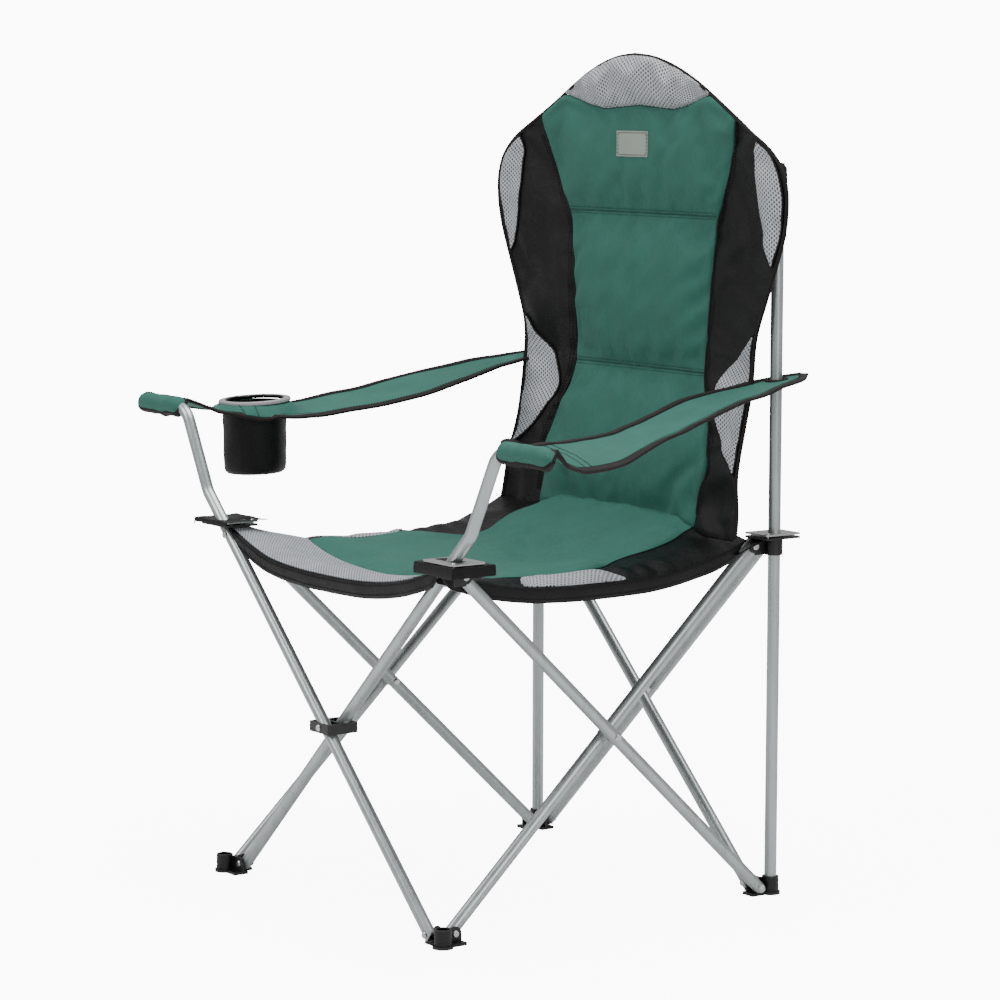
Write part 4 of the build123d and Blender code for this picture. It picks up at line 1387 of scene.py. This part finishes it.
for zone, (obj, part) in back_part("back_pad", pad, GREEN, LINING):
    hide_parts(f"back_{zone}")
for zone, (obj, part) in back_part("headrest_pad", head, NET, LINING):
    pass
for side, wing in wings.items():
    for zone, (obj, part) in back_part("back_wing", wing, BLACK):
        declare_sheet(part)
for name, piece in back_patches.items():
    for zone, (obj, part) in back_part(name, piece, NET):
        declare_sheet(part)
back_part("back_stitching_green", join(green_rows), THREAD_GREEN)
back_part("back_stitching_black", join(black_rows), THREAD_BLACK)
back_part("back_stitching_pale", join(pale_rows), LABEL)
back_part("back_seams", join(seam_cords), TAPE)
back_part("back_seam_tape", join(seam_tapes), LINING)
back_part("back_mesh_binding", join(patch_trims), TAPE)
back_part("back_piping", back_piping, TAPE)

for zone, (obj, part) in back_part("back_label", label, LABEL, zone=whole("upper_right")):
    declare_sheet(part)
back_part("label_stitching", join(label_row), THREAD_BLACK, zone=whole("upper_right"))


def mount(name, piece, body):
    """Shows a black sheet that stays whole, on one body."""
    obj = show(name, piece, [BLACK])
    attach(obj, body)
    declare_sheet(piece)


for side, sign in SIDES.items():
    mount("upright_pocket_" + side, pocket(sign), f"rear_{side}_frame")


# ---------------------------------------------------------------- assemble: the seat
def seat_part(name, piece, material, zone=seat_zone):
    return deal(name, piece, [material], zone, fold_seat).items()


for zone, (obj, part) in seat_part("seat_base", base, BLACK):
    declare_sheet(part)
    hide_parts("seat_" + zone)
for zone, (obj, part) in seat_part("seat_pad", seat_pad, GREEN):
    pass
for name, piece in seat_patches.items():
    panel = name.split("_")[2]
    net = NET_FINE if panel == "front" else NET
    for zone, (obj, part) in seat_part(name, piece, net, whole(panel)):
        declare_sheet(part)
for side in HEM_OUT:
    strip, rows = hem(side)
    for zone, (obj, part) in seat_part("seat_hem", strip, BLACK, whole(side)):
        declare_sheet(part)
    seat_part("seat_hem_stitching", join(rows), THREAD_BLACK, whole(side))
for side in SIDES:
    tab, corner = corner_tab(side, over=side == "left"), "corner_front_" + side
    mount("corner_tab_front_" + side, tab, corner)
for side in SIDES:
    name, plate = "rear_strap_" + side, "seat_plate_rear_" + side
    mount(name, rear_strap(side), "slider_" + side)


# ---------------------------------------------------------------- assemble: the armrests and the cup
def arm_part(name, piece, material):
    return deal(name, piece, [material], arm_zone, fold_arm).items()


for side, arm in arms.items():
    for zone, (obj, part) in arm_part("armrest", arm, GREEN):
        declare_sheet(part)
        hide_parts("arm_" + zone)
arm_part("arm_binding", join(arm_trims), TAPE)
arm_part("arm_stitching", join(arm_threads), THREAD_BLACK)

bag = pouch()
bag_obj = show("cup_pouch_cloth", bag, [BLACK])
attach(bag_obj, "arm_front_left")
tuple(metres(CUP))
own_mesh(bag_obj)
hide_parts("cup_pouch")


# ---------------------------------------------------------------- floor, light and camera
# How bright the paper looks, and how much of that light falls on the chair.
SEEN_WHITE, ROOM_LIGHT = 11.0, 0.5


def floor():
    """A wide disc of pale paper, which only the camera sees glow."""
    n = 24
    ring = coords(np.cos(full_turn(n)), np.sin(full_turn(n)), 0.0)
    verts = np.concatenate([np.zeros((1, 3))] + [ring * r for r in (2.0, 8.0, 40.0)])
    faces = [(0, 1 + k, 1 + (k + 1) % n) for k in range(n)]
    for b in (1, 1 + n):
        faces += [(b + k, b + n + k, b + n + (k + 1) % n, b + (k + 1) % n) for k in range(n)]
    me = bpy.data.meshes.new("floor")
    me.from_pydata(verts.tolist(), [], faces)
    paper = Look("pale_floor", Roughness=0.85, Specular_IOR_Level=0.1)
    paper.shader.inputs["Base Color"].default_value = (0.92, 0.92, 0.92, 1)
    paper.shader.inputs["Emission Color"].default_value = (1, 1, 1, 1)
    x, y, _ = paper.axes(paper.vector())
    far = paper.math("SQRT", paper.math("MULTIPLY_ADD", x, x, paper.math("MULTIPLY", y, y)))
    glow = paper.range(far, 0.8, 5.0, SEEN_WHITE - 1.7, SEEN_WHITE - 0.5)
    seen = paper.add("ShaderNodeLightPath").outputs["Is Camera Ray"]
    paper.links.new(paper.math("MULTIPLY", glow, seen), paper.shader.inputs["Emission Strength"])
    me.materials.append(paper.mat)
    link("floor", me)


floor()

world = bpy.data.worlds.new("studio")
bpy.context.scene.world = world
world.use_nodes = True
room = world.node_tree
room.nodes["Background"].inputs["Color"].default_value = (1.0, 1.0, 1.0, 1)
path = room.nodes.new("ShaderNodeLightPath")
level = room.nodes.new("ShaderNodeMath")
level.operation = "MULTIPLY_ADD"
room.links.new(path.outputs["Is Camera Ray"], level.inputs[0])
level.inputs[1].default_value = SEEN_WHITE - ROOM_LIGHT
level.inputs[2].default_value = ROOM_LIGHT
room.links.new(level.outputs[0], room.nodes["Background"].inputs["Strength"])


def softbox(name, at, aim, wide, tall, power):
    data = bpy.data.lights.new(name, "AREA")
    data.shape, data.size, data.size_y, data.energy = "RECTANGLE", wide, tall, power
    obj = link(name, data)
    obj.location = at
    obj.rotation_mode = "QUATERNION"
    obj.rotation_quaternion = (Vector(aim) - Vector(at)).to_track_quat("-Z", "Y")


softbox("key", (-0.9, -2.6, 2.7), (0, 0, 0.6), 1.6, 1.6, 48)
softbox("fill", (3.2, -0.4, 1.7), (0, 0, 0.6), 0.9, 2.2, 26)
softbox("top", (0.2, 0.4, 3.3), (0, 0, 0.5), 2.2, 2.2, 92)

# The camera stands at the photograph's viewing angle.
CAMERA_AT, LENS, SENSOR = (3731.8, -2635.9, 1051.3), 127.2, 36
azimuth, elevation, roll = (math.radians(a) for a in (54.68, 6.79, 0.15))
back_axis = np.array(
    [math.sin(azimuth) * math.cos(elevation), -math.cos(azimuth) * math.cos(elevation), math.sin(elevation)]
)
right_axis = np.array([math.cos(azimuth), math.sin(azimuth), 0.0])
up_axis = np.cross(back_axis, right_axis)
turned_right = right_axis * math.cos(roll) + up_axis * math.sin(roll)
turned_up = up_axis * math.cos(roll) - right_axis * math.sin(roll)
camera_data = bpy.data.cameras.new("camera")
camera = link("camera", camera_data)
camera.matrix_world = Matrix(
    [[turned_right[i], turned_up[i], back_axis[i], 0] for i in range(3)] + [[0, 0, 0, 1]]
)
camera.location = metres(CAMERA_AT)
camera_data.sensor_width = SENSOR
camera_data.lens = LENS
camera_data.clip_end = 200
bpy.context.scene.camera = camera
